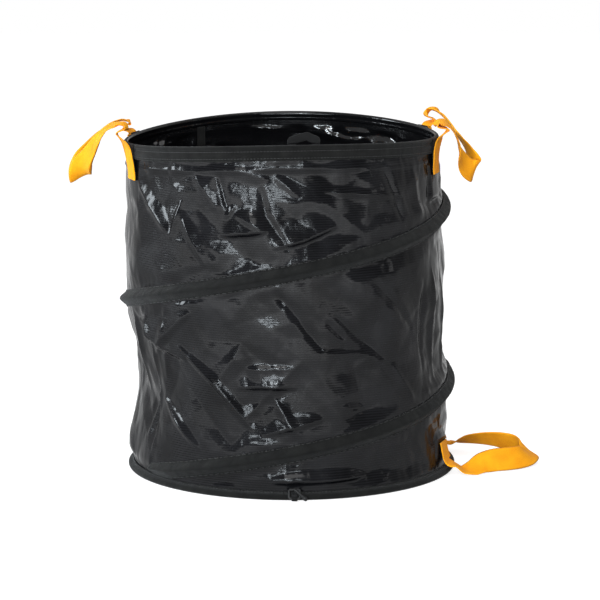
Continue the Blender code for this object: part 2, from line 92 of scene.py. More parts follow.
# Tapes
TAPE = 0.0012
CLEARANCE = 0.0003
HEM_DEPTH = 0.019
HEM_INNER_DEPTH = 0.012
SLEEVE_HEIGHT = 0.022
SLEEVE_PROUD = 0.0095
SLEEVE_END_HEIGHT = 0.0085
BINDING_HEIGHT = 0.0105
BINDING_PROUD = 0.0075
SEAM_TAPE_WIDTH = 0.012
SEAM_ANGLE = 123

# Floor panel
FLOOR = 0.0012
FLOOR_LIP = 0.009
WALL_FOOT = 0.001

# Webbing
WEBBING = 0.0016
WEBBING_WIDTH = 0.030
BACKING = 0.001
BACKING_WIDTH = 0.0286
TAIL_DROP = 0.045
TAIL_FLARE = 0.005
PIVOT_RISE = 0.013
PIVOT_OUT = 0.003
BASE_TAIL_TOP = 0.043
BASE_TAIL_BEND = 0.005
BASE_PIVOT_GAP = 0.0016

# Closure
CLOSURE_ANGLE = -81.5
CLOSURE_WEBBING = 0.010
CLOSURE_THICKNESS = 0.0012
CLOSURE_SPREAD = 0.030
CLOSURE_RISE = 0.012
ANCHOR_DEPTH = 0.014
RING_X = 0.0035
RING_WIDTH = 0.0166
RING_HEIGHT = 0.0142
RING_BAND = 0.003
RING_THICKNESS = 0.0026
RING_CORNER = 0.004
RING_LEAN = 20
TAB = 0.001
TAB_WIDTH = 0.0075
TOGGLE_LENGTH = 0.021
TOGGLE_RADIUS = 0.0018
TOGGLE_HEAD = 0.0028
TOGGLE_TILT = -42

# The wall's grid, from its seam once round and from its foot up into the hem
COLUMNS = 640
ROWS = 220
GIRTH = 2 * math.pi * BASE_RADIUS
CELL = GIRTH / COLUMNS
U = CELL * np.arange(COLUMNS + 1)
V = np.linspace(WALL_FOOT, RIM_HEIGHT - 0.008, ROWS)
ROW = V[1] - V[0]

# Handles: where each stands, how far round its tails are to either side, and how far its + side end is lifted
HANDLES = {"left": (180, 20, 0.085), "right": (4, 20, -0.035), "base": (0, 18, 0)}
BASE_REACH = 0.112
BASE_DROP = 0.0125

# How far the base tails stand off the wall, from their sewn tops down
BASE_TAIL_SLACK = (0, 0.0022, 0.0062)

# Where the webbing doubles back between a sewn tail and its loop, as metres (out, up) from the loop's end
LAZY_FOLD = (0.0065, -0.0030)

# Stitches
STITCH_LENGTH = 0.0031
STITCH_RADIUS = 0.00032
STITCH_SPACING = 0.0042
BOX_LENGTH = 0.0026
BOX_RADIUS = 0.00030
BOX_SPACING = 0.0034
BOX_INSET = 0.0035

# Camera
CAMERA_DISTANCE = 4.199
CAMERA_ELEVATION = 9.95
CAMERA_FOCUS_HEIGHT = 0.22
CAMERA_AIM = (0.0108, -0.0045)
FOCAL_LENGTH = 194.98
SENSOR = 36
CAMERA_CLIP = (0.1, 100)

UP = Vector((0, 0, 1))


def cos(degrees):
    return math.cos(math.radians(degrees))


def sin(degrees):
    return math.sin(math.radians(degrees))


def outward(angle):
    return Vector((cos(angle), sin(angle), 0))


def sideways(angle):
    return Vector((-sin(angle), cos(angle), 0))


def lean(z):
    return RIM_LEAN * z / RIM_HEIGHT


def place(angle, radius, z):
    return Vector((lean(z), 0, z)) + radius * outward(angle)


def rim_top(angle):
    return RIM_HEIGHT - RIM_SADDLE * cos(2 * angle) + RIM_TILT_X * cos(angle) + RIM_TILT_Y * sin(angle)


def hem_foot(angle):
    return rim_top(angle) - HEM_DEPTH


def smooth(share):
    share = np.clip(share, 0, 1)
    return share * share * (3 - 2 * share)


# Camera first

def aimed(data, spot, target):
    """An object for a camera or a lamp, turned towards its target."""
    made = bpy.data.objects.new(data.name, data)
    made.location = spot
    made.rotation_mode = "QUATERNION"
    made.rotation_quaternion = (target - made.location).to_track_quat("-Z", "Y")
    bpy.context.scene.collection.objects.link(made)
    return made


def camera():
    back = Vector((0, -cos(CAMERA_ELEVATION), sin(CAMERA_ELEVATION)))
    up = Vector((0, sin(CAMERA_ELEVATION), cos(CAMERA_ELEVATION)))
    focus = Vector((0, 0, CAMERA_FOCUS_HEIGHT))
    data = bpy.data.cameras.new("camera")
    data.sensor_width = SENSOR
    data.lens = FOCAL_LENGTH
    data.clip_start, data.clip_end = CAMERA_CLIP
    aim = focus + Vector((CAMERA_AIM[0], 0, 0)) + CAMERA_AIM[1] * up
    bpy.context.scene.camera = aimed(data, focus + CAMERA_DISTANCE * back, aim)


camera()


# The spiral and the wall's form

def spiral_height(turned):
    return SPIRAL_HEIGHT + SPIRAL_PITCH * turned / 360 - SPIRAL_SAG * ((1 - cos(turned)) / 2) ** 3


def sleeve_edges(turned):
    middle = spiral_height(turned)
    high = min(middle + SLEEVE_HEIGHT / 2, hem_foot(turned) - CLEARANCE)
    low = max(middle - SLEEVE_HEIGHT / 2, BINDING_HEIGHT + CLEARANCE)
    return low, high


def sleeve_width(turned):
    low, high = sleeve_edges(turned)
    return high - low


SPIRAL = [a for a in range(180, -900, -STEP) if sleeve_width(a) >= SLEEVE_END_HEIGHT]
SPIRAL_START, SPIRAL_END = SPIRAL[0], SPIRAL[-1]


def turn_rings(angle):
    turned = angle + 360 * math.ceil((SPIRAL_END - angle) / 360)
    rings = []
    while turned <= SPIRAL_START:
        height = sum(sleeve_edges(turned)) / 2
        near_rim = max(0, 1 - (hem_foot(angle) - height) / (2 * SLEEVE_HEIGHT))
        near_base = max(0, 1 - (height - BINDING_HEIGHT) / (2 * SLEEVE_HEIGHT))
        radius = TURN_RADIUS + near_rim * (RIM_RADIUS - TURN_RADIUS) + near_base * (BASE_RADIUS - TURN_RADIUS)
        rings.append((height, radius))
        turned += 360
    return rings


def wall_line(angle, heights):
    """The wall's outside radius at some heights, and how far each is from the nearest ring of wire."""
    rings = [(BINDING_HEIGHT, BASE_RADIUS), *turn_rings(angle), (hem_foot(angle), RIM_RADIUS)]
    levels = np.array([z for z, _ in rings])
    held = np.array([r for _, r in rings])
    span = np.clip(np.searchsorted(levels, heights) - 1, 0, len(levels) - 2)
    low, high = levels[span], levels[span + 1]
    share = np.clip((heights - low) / (high - low), 0, 1)
    low_down = np.maximum(0, 1 - (low + high) / RIM_HEIGHT)
    pinch = PINCH + LEFT_PINCH * low_down * max(0, -cos(angle)) ** 2
    depth = pinch * ((high - low) / SPIRAL_PITCH) ** 2 * np.sin(np.pi * share) ** 2
    radius = held[span] + (held[span + 1] - held[span]) * share - depth
    above = np.where(span > 0, SLEEVE_HEIGHT / 2, 0)
    below = np.where(span < len(levels) - 2, SLEEVE_HEIGHT / 2, 0)
    free = np.minimum(heights - low - above, high - heights - below)
    return radius, free


# Crumpled cloth, as heights over the unrolled wall

# Scattered seeds: tries for each facet, the least gap squared and the margin, both in spacings
SEED_TRIES = 9
SEED_GAP = 0.8
SEED_MARGIN = 1.5


def unrolled(angle):
    return math.radians((angle - SEAM_ANGLE) % 360) * BASE_RADIUS


def facets(rng, spacing, stretch, slant):
    """Flat facets between scattered seeds, each with its own height, drawn out along a slanting direction."""
    c, s = cos(slant), sin(slant)
    squeeze = np.array([[c / stretch, s / stretch], [-s, c]]) / spacing
    margin = SEED_MARGIN * spacing * stretch
    low = np.array([-margin, V[0] - margin])
    size = np.array([GIRTH + 2 * margin, V[-1] - V[0] + 2 * margin])
    tries = rng.random((int(SEED_TRIES * size[0] * size[1] / (spacing**2 * stretch)), 2)) * size + low
    found = np.empty((len(tries), 2))
    kept = []
    for n, spot in enumerate(tries @ squeeze.T):
        if np.all(np.sum((found[: len(kept)] - spot) ** 2, axis=1) > SEED_GAP):
            found[len(kept)] = spot
            kept.append(n)
    seeds, levels = tries[kept], rng.uniform(-1, 1, len(kept))
    _, _, faces, source, *_ = delaunay_2d_cdt([Vector(p) for p in found[: len(kept)]], [], [], 0, 1e-6)
    field = np.zeros((ROWS, COLUMNS + 1))
    for face in faces:
        ids = [source[i][0] for i in face]
        corners = seeds[ids]
        j0, i0 = np.maximum(0, np.floor((corners.min(axis=0) - (0, V[0])) / (CELL, ROW))).astype(int)
        j1, i1 = np.ceil((corners.max(axis=0) - (0, V[0])) / (CELL, ROW)).astype(int) + 1
        u, v = np.meshgrid(U[j0:j1] - corners[0][0], V[i0:i1] - corners[0][1])
        (ub, vb), (uc, vc) = corners[1:] - corners[0]
        area = ub * vc - uc * vb
        if not u.size or abs(area) < 1e-12:
            continue
        wb, wc = (u * vc - uc * v) / area, (ub * v - u * vb) / area
        shares = np.array([1 - wb - wc, wb, wc])
        inside = (shares > -1e-9).all(axis=0)
        field[i0:i1, j0:j1][inside] = np.tensordot(levels[ids], shares, 1)[inside]
    return field


def crease(field, line, rise, left, right):
    """A fold along a line of (angle, height), with a slope of its own width on either side of the crest."""
    spots = np.array([(unrolled(a), z) for a, z in line])
    lengths = np.hypot(*np.diff(spots, axis=0).T)
    total, reach = lengths.sum(), max(left, right)
    columns, rows = (
        np.nonzero((grid > x.min() - reach) & (grid < x.max() + reach))[0] for grid, x in zip((U, V), spots.T)
    )
    u, v = np.meshgrid(U[columns], V[rows])
    nearest = np.full(u.shape, np.inf)
    side, along = np.zeros((2, *u.shape))
    done = 0
    for a, b, length in zip(spots, spots[1:], lengths):
        d = (b - a) / length
        t = np.clip((u - a[0]) * d[0] + (v - a[1]) * d[1], 0, length)
        off_u, off_v = u - a[0] - t * d[0], v - a[1] - t * d[1]
        distance = np.hypot(off_u, off_v)
        nearer = distance < nearest
        nearest[nearer] = distance[nearer]
        side[nearer] = (d[0] * off_v - d[1] * off_u)[nearer]
        along[nearer] = (done + t)[nearer]
        done += length
    ends = np.clip(np.minimum(along, total - along) / (0.3 * total), 0, 1) ** 0.6
    width = np.where(side > 0, left, right) * (0.35 + 0.65 * ends)
    field[np.ix_(rows, columns)] += rise * ends * np.maximum(0, 1 - nearest / width) ** 1.4


# Folds that show at the front and, in the last six, inside the back. Each is the angle and height of two or
# three points and then its rise and its slope's width on the left and right, in degrees and millimetres.
FOLDS = (
    (-155, 385, -143, 350, -132.5, 316, 4, 16, 10), (-134, 318, -128.5, 368, 3, 6, 12),
    (-128, 345, -118, 285, 3.6, 12, 8), (-122.4, 400, -113.4, 357, 2.6, 9, 12),
    (-113.3, 402, -109, 349, -3.4, 10, 5), (-110.4, 346, -106.5, 361, 2.4, 6, 5),
    (-118.5, 411, -106, 404, -94, 392, 2.8, 6, 14), (-92.5, 397, -83.9, 371, 2.6, 7, 10),
    (-107, 352, -96, 331, 2.4, 12, 8), (-97.5, 383, -95.8, 348, -88, 306, -3.6, 8, 12),
    (-53, 421, -48, 375, -43.5, 333, -3.4, 10, 12), (-76.5, 377, -60, 371.5, -44, 368, 2.2, 8, 6),
    (-71, 420, -68.5, 350, 2.4, 20, 14), (-56.7, 420, -60, 336, 2.2, 18, 16),
    (-38, 425, -33, 350, -28, 310, 2.6, 12, 18), (-27.6, 425, -15, 366, 2.4, 10, 12),
    (-176.7, 225, -176.8, 106, 3, 12, 12), (-163, 232, -164, 110, 3.4, 12, 14),
    (-150.9, 236, -149.6, 120, 3.4, 12, 10), (-138, 236, -142.6, 135, 2.6, 10, 14),
    (-148.2, 166, -136, 200, -125, 228, 4.4, 20, 8), (-132.5, 183, -115.7, 139, -103, 83, 5, 10, 7),
    (-146, 112, -134, 84, -123, 53, 4.2, 9, 8), (-155.6, 55, -148.9, 121, 3.4, 8, 10),
    (-106, 98, -85, 170, 3, 16, 14), (-105, 161, -88, 162, 3, 5, 20),
    (-94.1, 266, -90.5, 234, -3, 8, 8), (-92, 252, -77.5, 181, -4.2, 14, 8),
    (-76, 219, -69, 194, -3.4, 8, 6), (-73, 226, -53, 167, -3.6, 8, 12),
    (-58, 266, -39, 199, -3.8, 10, 12), (-76, 179, -60, 175, 2.6, 5, 8),
    (-71.5, 112, -61.5, 108, 2.4, 6, 6), (-25.8, 272, -22.7, 126, 3.4, 10, 12),
    (-12.2, 264, -11.4, 118, 3, 8, 10), (-33, 262, -32, 140, -2.8, 10, 10),
    (-50, 160, -36, 85, 3, 10, 8), (-95, 125, -84, 62, 3, 8, 10),
    (-113, 324, -104, 327, -95, 330, 5.8, 34, 6), (-94, 309, -83, 318, -71, 334, 5.2, 30, 6),
    (-108, 136, -98, 139, -87, 137, 5.6, 30, 6), (-156, 196, -143, 180, -129, 166, 7.5, 44, 8),
    (-98, 21, -80, 22, -62, 24, 9.5, 16, 6), (-100, 78, -88, 90, -78, 98, 3.8, 16, 6),
    (101, 412.8, 90, 412.2, 79, 413.2, 4.2, 6, 8), (130, 402, 118, 409, 107, 404, 4, 6, 7),
    (97, 397, 88, 402, 76, 399, 4.2, 6, 6), (74, 411, 65, 403, 54, 406, 4, 6, 6),
    (122, 414, 112, 395, 3.2, 8, 5), (86, 412, 81, 395, 3, 5, 8),
)

# Crumples, largest first: (spacing, stretch, slant, height). The first two fade earlier towards the tapes.
SEED = 20
CRUMPLES = (
    (0.062, 1.6, -58, 0.0096),
    (0.034, 1.9, -50, 0.0056),
    (0.018, 1.7, 35, 0.0016),
    (0.010, 1.9, -42, 0.0006),
)
LOOSE_REACH = 0.020
FINE_REACH = 0.007

# Small pleats beside the tapes that hold the cloth, and the calm strip beside its seam
PLEAT_RISE = 0.0008
PLEAT_REACH = 0.022
SEAM_REACH = 0.02

# The finest crumples are stronger inside the back, under the rim: how much, from where and how soft it begins
REAR_STRENGTH = 2.6
REAR_FROM, REAR_SOFT = 0.45, 0.30
REAR_HEIGHT, REAR_RISE = 0.372, 0.018
REAR_REACH = 0.005

# Flat cloth under a sewn tail: half its width and its soft edge (degrees), its soft ends and reach (metres)
TAIL_HALF, TAIL_EDGE, TAIL_END = 4.6, 3.0, 0.012
UPPER_TAIL = (0.362, 1)
BASE_TAIL = (-1, BASE_TAIL_TOP + 0.004)


def pressed_down(angle, z):
    """1 under the straps' sewn tails, so that the cloth stays flat there."""
    flat = np.zeros(np.shape(z))
    for name, (middle, aside, _) in HANDLES.items():
        low, high = BASE_TAIL if name == "base" else UPPER_TAIL
        inside = np.minimum(smooth((z - low) / TAIL_END + 1), smooth((high - z) / TAIL_END + 1))
        for tail in (middle - aside, middle + aside):
            away = abs((angle - tail + 180) % 360 - 180)
            flat = np.maximum(flat, float(smooth(1 - (away - TAIL_HALF) / TAIL_EDGE)) * inside)
    return flat


def wall_surface():
    """Heights and outside radii of the wall's grid, in rows from the foot and columns from the seam."""
    rng = np.random.default_rng(SEED)
    layers = [height * facets(rng, *form) for *form, height in CRUMPLES]
    crumple, fine = sum(layers[:2]), sum(layers[2:])
    folds = np.zeros((ROWS, COLUMNS + 1))
    for *line, rise, left, right in FOLDS:
        points = [(a, z / 1000) for a, z in zip(line[::2], line[1::2])]
        crease(folds, points, rise / 1000, left / 1000, right / 1000)
    heights, radii = np.zeros((2, ROWS, COLUMNS))
    for j in range(COLUMNS):
        angle = SEAM_ANGLE + 360 * j / COLUMNS
        c, s = cos(angle), sin(angle)
        top = rim_top(angle) - TAPE - 2 * FERRULE_RADIUS - 2 * CLEARANCE
        z = WALL_FOOT + (top - WALL_FOOT) * (V - V[0]) / (V[-1] - V[0])
        radius, free = wall_line(angle, z)
        lively = np.array([0.75 + 0.7 * noise.noise((3 * c + 7, 3 * s, 9 * v)) for v in V])
        pleats = np.array(
            [noise.noise((17 * c, 17 * s + 3, 5 * v)) + 0.6 * noise.noise((36 * c, 36 * s, 8 * v)) for v in V]
        )
        pleats *= np.exp(-np.maximum(free, 0) / PLEAT_REACH) * smooth(free / 0.004 + 0.3)
        rear = float(smooth((s - REAR_FROM) / REAR_SOFT)) * smooth((z - REAR_HEIGHT) / REAR_RISE)
        rear *= REAR_STRENGTH * smooth(free / REAR_REACH)
        push = smooth(free / LOOSE_REACH) * (lively * crumple[:, j] + folds[:, j]) + PLEAT_RISE * pleats
        push += (smooth(free / FINE_REACH) * lively + rear) * fine[:, j]
        push *= float(smooth(min(U[j], GIRTH - U[j]) / SEAM_REACH)) * (1 - pressed_down(angle, z))
        heights[:, j], radii[:, j] = z, radius + push
    return heights, radii


WALL_Z, WALL_R = wall_surface()


def wall_at(angle, z):
    """The dressed wall's outside radius, for arrays of angles and heights."""
    angle, z = np.broadcast_arrays(np.asarray(angle, float), np.asarray(z, float))
    column = ((angle - SEAM_ANGLE) % 360) / 360 * COLUMNS
    j = np.floor(column).astype(int) % COLUMNS
    k = (j + 1) % COLUMNS
    across = column - np.floor(column)
    foot, top = WALL_Z[0, j], WALL_Z[-1, j]
    row = np.clip((z - foot) / (top - foot) * (ROWS - 1), 0, ROWS - 1.001)
    i = np.floor(row).astype(int)
    up = row - i
    near = WALL_R[i, j] * (1 - up) + WALL_R[i + 1, j] * up
    far = WALL_R[i, k] * (1 - up) + WALL_R[i + 1, k] * up
    return near * (1 - across) + far * across


# Meshes

def spots(angles, radii, heights):
    """Points for arrays of angles, radii and heights of the leaning bag."""
    a = np.radians(angles)
    z = np.asarray(heights, float)
    x = RIM_LEAN * z / RIM_HEIGHT + radii * np.cos(a)
    y = radii * np.sin(a)
    return np.stack(np.broadcast_arrays(x, y, z), axis=-1)


def mesh_piece(name, points, faces, materials, strip=None, kinds=None):
    """An object from arrays of points and faces. strip gives each face corner its place on the cloth."""
    mesh = bpy.data.meshes.new(name)
    mesh.from_pydata(np.asarray(points).tolist(), [], faces.tolist() if hasattr(faces, "tolist") else faces)
    for one in materials:
        mesh.materials.append(one)
    if kinds is not None:
        mesh.polygons.foreach_set("material_index", np.asarray(kinds, np.int32))
    if strip is not None:
        layer = mesh.attributes.new("strip", "FLOAT_VECTOR", "CORNER")
        layer.data.foreach_set("vector", np.asarray(strip, np.float32).ravel())
    mesh.shade_smooth()
    mesh.update()
    made = bpy.data.objects.new(name, mesh)
    bpy.context.scene.collection.objects.link(made)
    return made


def quads(rows, count, closed=False):
    """Faces between rows of count points that run once round. closed joins the last row to the first."""
    n = np.arange(rows if closed else rows - 1)[:, None]
    m = np.arange(count)
    here, there, k = n * count, (n + 1) % rows * count, (m + 1) % count
    return np.stack([here + m, here + k, there + k, there + m], -1).reshape(-1, 4)


def loft(name, sections, material, along=None, across=None, closed=False):
    """A skin over sections (stations, points, 3) whose points run once round. along and across give each
    station's and each point's place on the cloth, in metres."""
    stations, count = sections.shape[:2]
    faces = quads(stations, count, closed).tolist()
    strip = None
    if along is not None:
        far = np.append(along, along[-1] + (along[-1] - along[-2]))
        wide = np.append(across, across[-1])
        n, m = np.arange(len(faces) // count)[:, None], np.arange(count)
        steps = ((0, 0), (0, 1), (1, 1), (1, 0))
        corners = [np.broadcast_arrays(far[n + i], wide[m + j], 0.0) for i, j in steps]
        strip = np.array(corners).transpose(2, 3, 0, 1).reshape(-1, 3)
    if not closed:
        faces += [list(range(count))[::-1], [(stations - 1) * count + i for i in range(count)]]
        if along is not None:
            ends = [[along[0], b, 0] for b in across[::-1]] + [[along[-1], b, 0] for b in across]
            strip = np.concatenate([strip, ends])
    return facing_out(mesh_piece(name, sections.reshape(-1, 3), faces, [material], strip))


def facing_out(piece):
    """Turns the faces outward where they enclose a negative volume."""
    mesh = piece.data
    co = np.array([v.co for v in mesh.vertices])
    mesh.calc_loop_triangles()
    tri = np.array([t.vertices for t in mesh.loop_triangles])
    a, b, c = co[tri[:, 0]], co[tri[:, 1]], co[tri[:, 2]]
    if np.einsum("ij,ij->i", a, np.cross(b, c)).sum() < 0:
        mesh.flip_normals()
    return piece


def mixed(t, start, end, a, b):
    return (end - t) / (end - start) * a + (t - start) / (end - start) * b


def curve(points, step):
    """A smooth line through points (as rows of numbers), with a station every step or so."""
    p = np.asarray(points, float)
    ends = np.vstack([2 * p[0] - p[1], p, 2 * p[-1] - p[-2]])
    out = []
    for p0, p1, p2, p3 in zip(ends, ends[1:], ends[2:], ends[3:]):
        chord = [max(1e-9, np.linalg.norm((b - a)[:3]) ** 0.5) for a, b in ((p0, p1), (p1, p2), (p2, p3))]
        count = max(2, math.ceil(np.linalg.norm((p2 - p1)[:3]) / step))
        t0, t1, t2, t3 = 0, chord[0], chord[0] + chord[1], sum(chord)
        for t in np.linspace(t1, t2, count, endpoint=False):
            a1, a2, a3 = mixed(t, t0, t1, p0, p1), mixed(t, t1, t2, p1, p2), mixed(t, t2, t3, p2, p3)
            out.append(mixed(t, t1, t2, mixed(t, t0, t2, a1, a2), mixed(t, t1, t3, a2, a3)))
    out.append(p[-1])
    return np.array(out)


def running(points):
    """How far along a line each of its points lies."""
    return np.concatenate([[0], np.cumsum(np.linalg.norm(np.diff(points, axis=0), axis=1))])


def normalised(v):
    return v / np.maximum(np.linalg.norm(v, axis=-1, keepdims=True), 1e-12)


def arc(x, y, radius, start, end, count):
    return [(x + radius * cos(a), y + radius * sin(a)) for a in np.linspace(start, end, count)]


class Band:
    """A flat woven band along a route of (point, the way its width points)."""

    ACROSS = 15
    SELVEDGE = 0.16

    def __init__(self, route, width, thickness, step=0.0012):
        line = curve([[*point, *way] for point, way in route], step)
        self.centre, way = line[:, :3], line[:, 3:]
        self.ahead = normalised(np.gradient(self.centre, axis=0))
        self.way = normalised(way - np.sum(way * self.ahead, axis=1, keepdims=True) * self.ahead)
        self.through = normalised(np.cross(self.ahead, self.way))
        self.along = running(self.centre)
        self.width, self.thickness = width, thickness

    def piece(self, name, material, seed=0, ripple=0.0003):
        """The band's mesh: a flat body with round edges and a raised selvedge, rippled a little."""
        share = np.linspace(-1, 1, self.ACROSS)
        body = np.sqrt(np.clip(1 - np.abs(share) ** 9, 0, 1))
        body *= 1 + self.SELVEDGE * np.exp(-(((np.abs(share) - 0.9) / 0.06) ** 2))
        rows = []
        for s, centre, way, through in zip(self.along, self.centre, self.way, self.through):
            wave = np.array([noise.noise((60 * s + seed, 2.2 * x, seed)) for x in share]) * ripple
            middle = centre + np.outer(share * self.width / 2, way) + np.outer(wave, through)
            half = np.outer(body * self.thickness / 2, through)
            rows.append(np.vstack([middle + half, (middle - half)[-2:0:-1]]))
        across = np.concatenate([share, share[-2:0:-1]]) * self.width / 2
        return loft(name, np.array(rows), material, self.along, across)

    def spot(self, s, y, lift=0.0):
        """A point on the band's face, its direction along, its normal and the way of its width."""
        n = int(np.clip(np.searchsorted(self.along, s), 0, len(self.along) - 1))
        point = self.centre[n] + self.way[n] * y + self.through[n] * (self.thickness / 2 + lift)
        return point, self.ahead[n], self.through[n], self.way[n]


def beads(name, stitches, length, radius, material):
    """Stitches: one short rounded bead of thread for each (place, direction, normal)."""
    places, directions, normals = (np.asarray(x, float) for x in zip(*stitches))
    directions, normals = normalised(directions), normalised(normals)
    aside = np.cross(directions, normals)
    sides = 6
    rings = ((-0.5, 0.35), (-0.3, 0.95), (0.3, 0.95), (0.5, 0.35))
    points = [
        places + directions * t * length + (aside * math.cos(a) + normals * math.sin(a)) * size * radius
        for t, size in rings
        for a in np.linspace(0, 2 * math.pi, sides, endpoint=False)
    ]
    last = (len(rings) - 1) * sides
    one = [*quads(len(rings), sides).tolist(), [*range(sides)][::-1], [*range(last, last + sides)]]
    faces = [[n * len(points) + i for i in face] for n in range(len(places)) for face in one]
    return facing_out(mesh_piece(name, np.stack(points, axis=1).reshape(-1, 3), faces, [material]))


# What each piece moves with and stands for, and the share of the cloth's height that the rim's travel leaves
RIM_TRAVEL = -next(joint["range_m"][0] for joint in frame["joints"] if joint["name"] == "collapse")
KEEP = 1 - RIM_TRAVEL / min(rim_top(a) for a in range(0, 360, 6))


def dress(made, body, slot, *nodes, flattened=False):
    """Gives a piece its body and the solids it replaces; slot is not used. flattened gives it a mesh of its
    own.
    """
    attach(made, body)
    if flattened:
        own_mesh(made)
    if nodes:
        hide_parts(*nodes)
    return made


# Materials

def add_node(tree, kind, inputs=None, **settings):
    """A shader node, its inputs given as values or as the sockets that feed them. Returns its outputs."""
    made = tree.nodes.new("ShaderNode" + kind)
    for key, value in settings.items():
        setattr(made, key, value)
    for key, value in (inputs or {}).items():
        if isinstance(value, bpy.types.NodeSocket):
            tree.links.new(value, made.inputs[key])
        else:
            made.inputs[key].default_value = value
    return made.outputs


def mapped(tree, value, low, high, to_low, to_high):
    given = {"Value": value, "From Min": low, "From Max": high, "To Min": to_low, "To Max": to_high}
    return add_node(tree, "MapRange", given)[0]


class Maker:
    """A principled material and short calls for its nodes."""

    def __init__(self, name, colour, roughness, **sockets):
        self.made = bpy.data.materials.new(name)
        self.made.use_nodes = True
        self.tree = self.made.node_tree
        self.shader = self.tree.nodes["Principled BSDF"]
        self.shader.inputs["Base Color"].default_value = (*colour, 1)
        self.shader.inputs["Roughness"].default_value = roughness
        for socket, value in sockets.items():
            self.shader.inputs[socket.replace("_", " ")].default_value = value
        self.made.diffuse_color = (*colour, 1)

    def node(self, kind, inputs=None, **settings):
        return add_node(self.tree, kind, inputs, **settings)[0]

    def math(self, operation, a, b=0.0):
        return self.node("Math", {0: a, 1: b}, operation=operation)

    def plus(self, a, b):
        return self.math("ADD", a, b)

    def times(self, a, b):
        return self.math("MULTIPLY", a, b)

    def wave(self, value, length, shift=None):
        turned = self.times(value, 2 * math.pi / length)
        return self.math("SINE", turned if shift is None else self.plus(turned, shift))

    def strip(self):
        """The place on the cloth, as (vector, along, across)."""
        vector = add_node(self.tree, "Attribute", attribute_name="strip")["Vector"]
        return vector, *add_node(self.tree, "SeparateXYZ", {0: vector})[:2]

    def scaled(self, vector, factors):
        return self.node("VectorMath", {0: vector, 1: factors}, operation="MULTIPLY")

    def noise(self, vector, scale, detail=3.0, roughness=0.5, distortion=0.0):
        given = {"Vector": vector, "Scale": scale, "Detail": detail, "Roughness": roughness}
        return self.node("TexNoise", {**given, "Distortion": distortion})

    def varied(self, noise, low, high):
        return mapped(self.tree, noise, 0.3, 0.7, low, high)

    def tones(self, factor, *stops):
        made = self.tree.nodes.new("ShaderNodeValToRGB")
        ramp = made.color_ramp
        while len(ramp.elements) < len(stops):
            ramp.elements.new(0.5)
        for element, (position, colour) in zip(ramp.elements, stops):
            element.position = position
            element.color = (*colour, 1)
        self.tree.links.new(factor, made.inputs[0])
        return made.outputs[0]

    def bumps(self, *layers):
        """A normal from layers of (height, strength, distance), each on top of the one before."""
        normal = None
        for height, strength, distance in layers:
            given = {"Height": height, "Strength": strength, "Distance": distance}
            normal = self.node("Bump", given if normal is None else {**given, "Normal": normal})
        return normal

    def give(self, colour, rough, normal, **links):
        for socket, value in {"Base Color": colour, "Roughness": rough, "Normal": normal, **links}.items():
            self.tree.links.new(value, self.shader.inputs[socket.replace("_", " ")])
        return self.made


def fabric(name, dark, light, specular, coat):
    """Coated ripstop: near black and shiny, with fine ribs and small crinkles."""
    sockets = {"Specular_IOR_Level": specular, "Coat_Weight": coat, "Coat_Roughness": 0.15, "Coat_IOR": 2.5}
    m = Maker(name, dark, 0.20, **sockets)
    vector, along, up = m.strip()
    slanted = m.scaled(vector, (1.0, 0.55, 1.0))
    ribs = m.wave(up, 0.0030)
    cords = m.math("POWER", m.math("ABSOLUTE", m.wave(along, 0.0124)), 14.0)
    weave = m.plus(m.times(ribs, 0.7), m.times(cords, -0.10))
    crinkle = m.noise(slanted, 80.0, 1.6, 0.5, 0.6)
    ridges = m.node("TexVoronoi", {"Vector": slanted, "Scale": 52.0}, feature="DISTANCE_TO_EDGE")
    normal = m.bumps((ridges, 0.20, 0.0020), (crinkle, 0.30, 0.0014), (weave, 0.14, 0.00010))
    # The colour holds painted rib shading, lighter and darker lines along the ribs, over a random tone.
    shade = m.plus(m.noise(vector, 22.0, 3.0), m.times(ribs, 0.15))
    colour = m.tones(shade, (0.20, dark), (0.80, light))
    rough = m.varied(m.noise(vector, 34.0, 4.0), 0.15, 0.25)
    return m.give(colour, rough, normal, Coat_Normal=normal)


def tape(name, dark, light, rib=0.0011):
    """Matt woven tape: fine ribs across it, small puckers and a dusty sheen."""
    m = Maker(name, dark, 0.82, Sheen_Weight=0.08, Sheen_Roughness=0.5, Specular_IOR_Level=0.05)
    vector, along, across = m.strip()
    weave = m.times(m.wave(along, rib), m.wave(across, 0.8 * rib))
    pucker = m.noise(m.scaled(vector, (1.0, 0.35, 1.0)), 120.0, 3.0)
    fuzz = m.noise(vector, 900.0, 4.0)
    normal = m.bumps((pucker, 0.35, 0.0016), (weave, 0.5, 0.00016), (fuzz, 0.3, 0.0001))
    # The colour follows the weave's bumps: painted shade in its hollows, over a random tone.
    shade = m.plus(m.times(weave, 0.16), m.noise(vector, 60.0, 4.0))
    rough = m.varied(m.noise(vector, 80.0, 2.0), 0.74, 0.92)
    return m.give(m.tones(shade, (0.25, dark), (0.75, light)), rough, normal)


def webbing(name, dark, middle, light, roughness, sheen):
    """Woven webbing: rows of warp ribs crossed by picks, with painted shade in the gaps between them and a
    worn selvedge.
    """
    m = Maker(name, middle, roughness, Sheen_Weight=sheen, Sheen_Roughness=0.4, Specular_IOR_Level=0.08)
    vector, along, across = m.strip()
    lanes = m.wave(across, 0.0019)
    picks = m.wave(along, 0.0017, m.times(m.math("SIGN", lanes), math.pi / 2))
    weave = m.times(m.math("ABSOLUTE", lanes), m.plus(m.times(picks, 0.45), 0.55))
    fibre = m.noise(m.scaled(vector, (0.35, 1.0, 1.0)), 1400.0, 3.0)
    worn = m.noise(vector, 45.0, 4.0)
    normal = m.bumps((weave, 0.55, 0.00022), (fibre, 0.25, 0.00008))
    # The colour follows the weave, with painted shade in its gaps, mixed with random wear.
    shade = m.plus(m.times(weave, 0.45), m.times(worn, 0.55))
    colour = m.tones(shade, (0.20, dark), (0.50, middle), (0.85, light))
    rough = m.varied(worn, roughness - 0.08, roughness + 0.08)
    return m.give(colour, rough, normal)


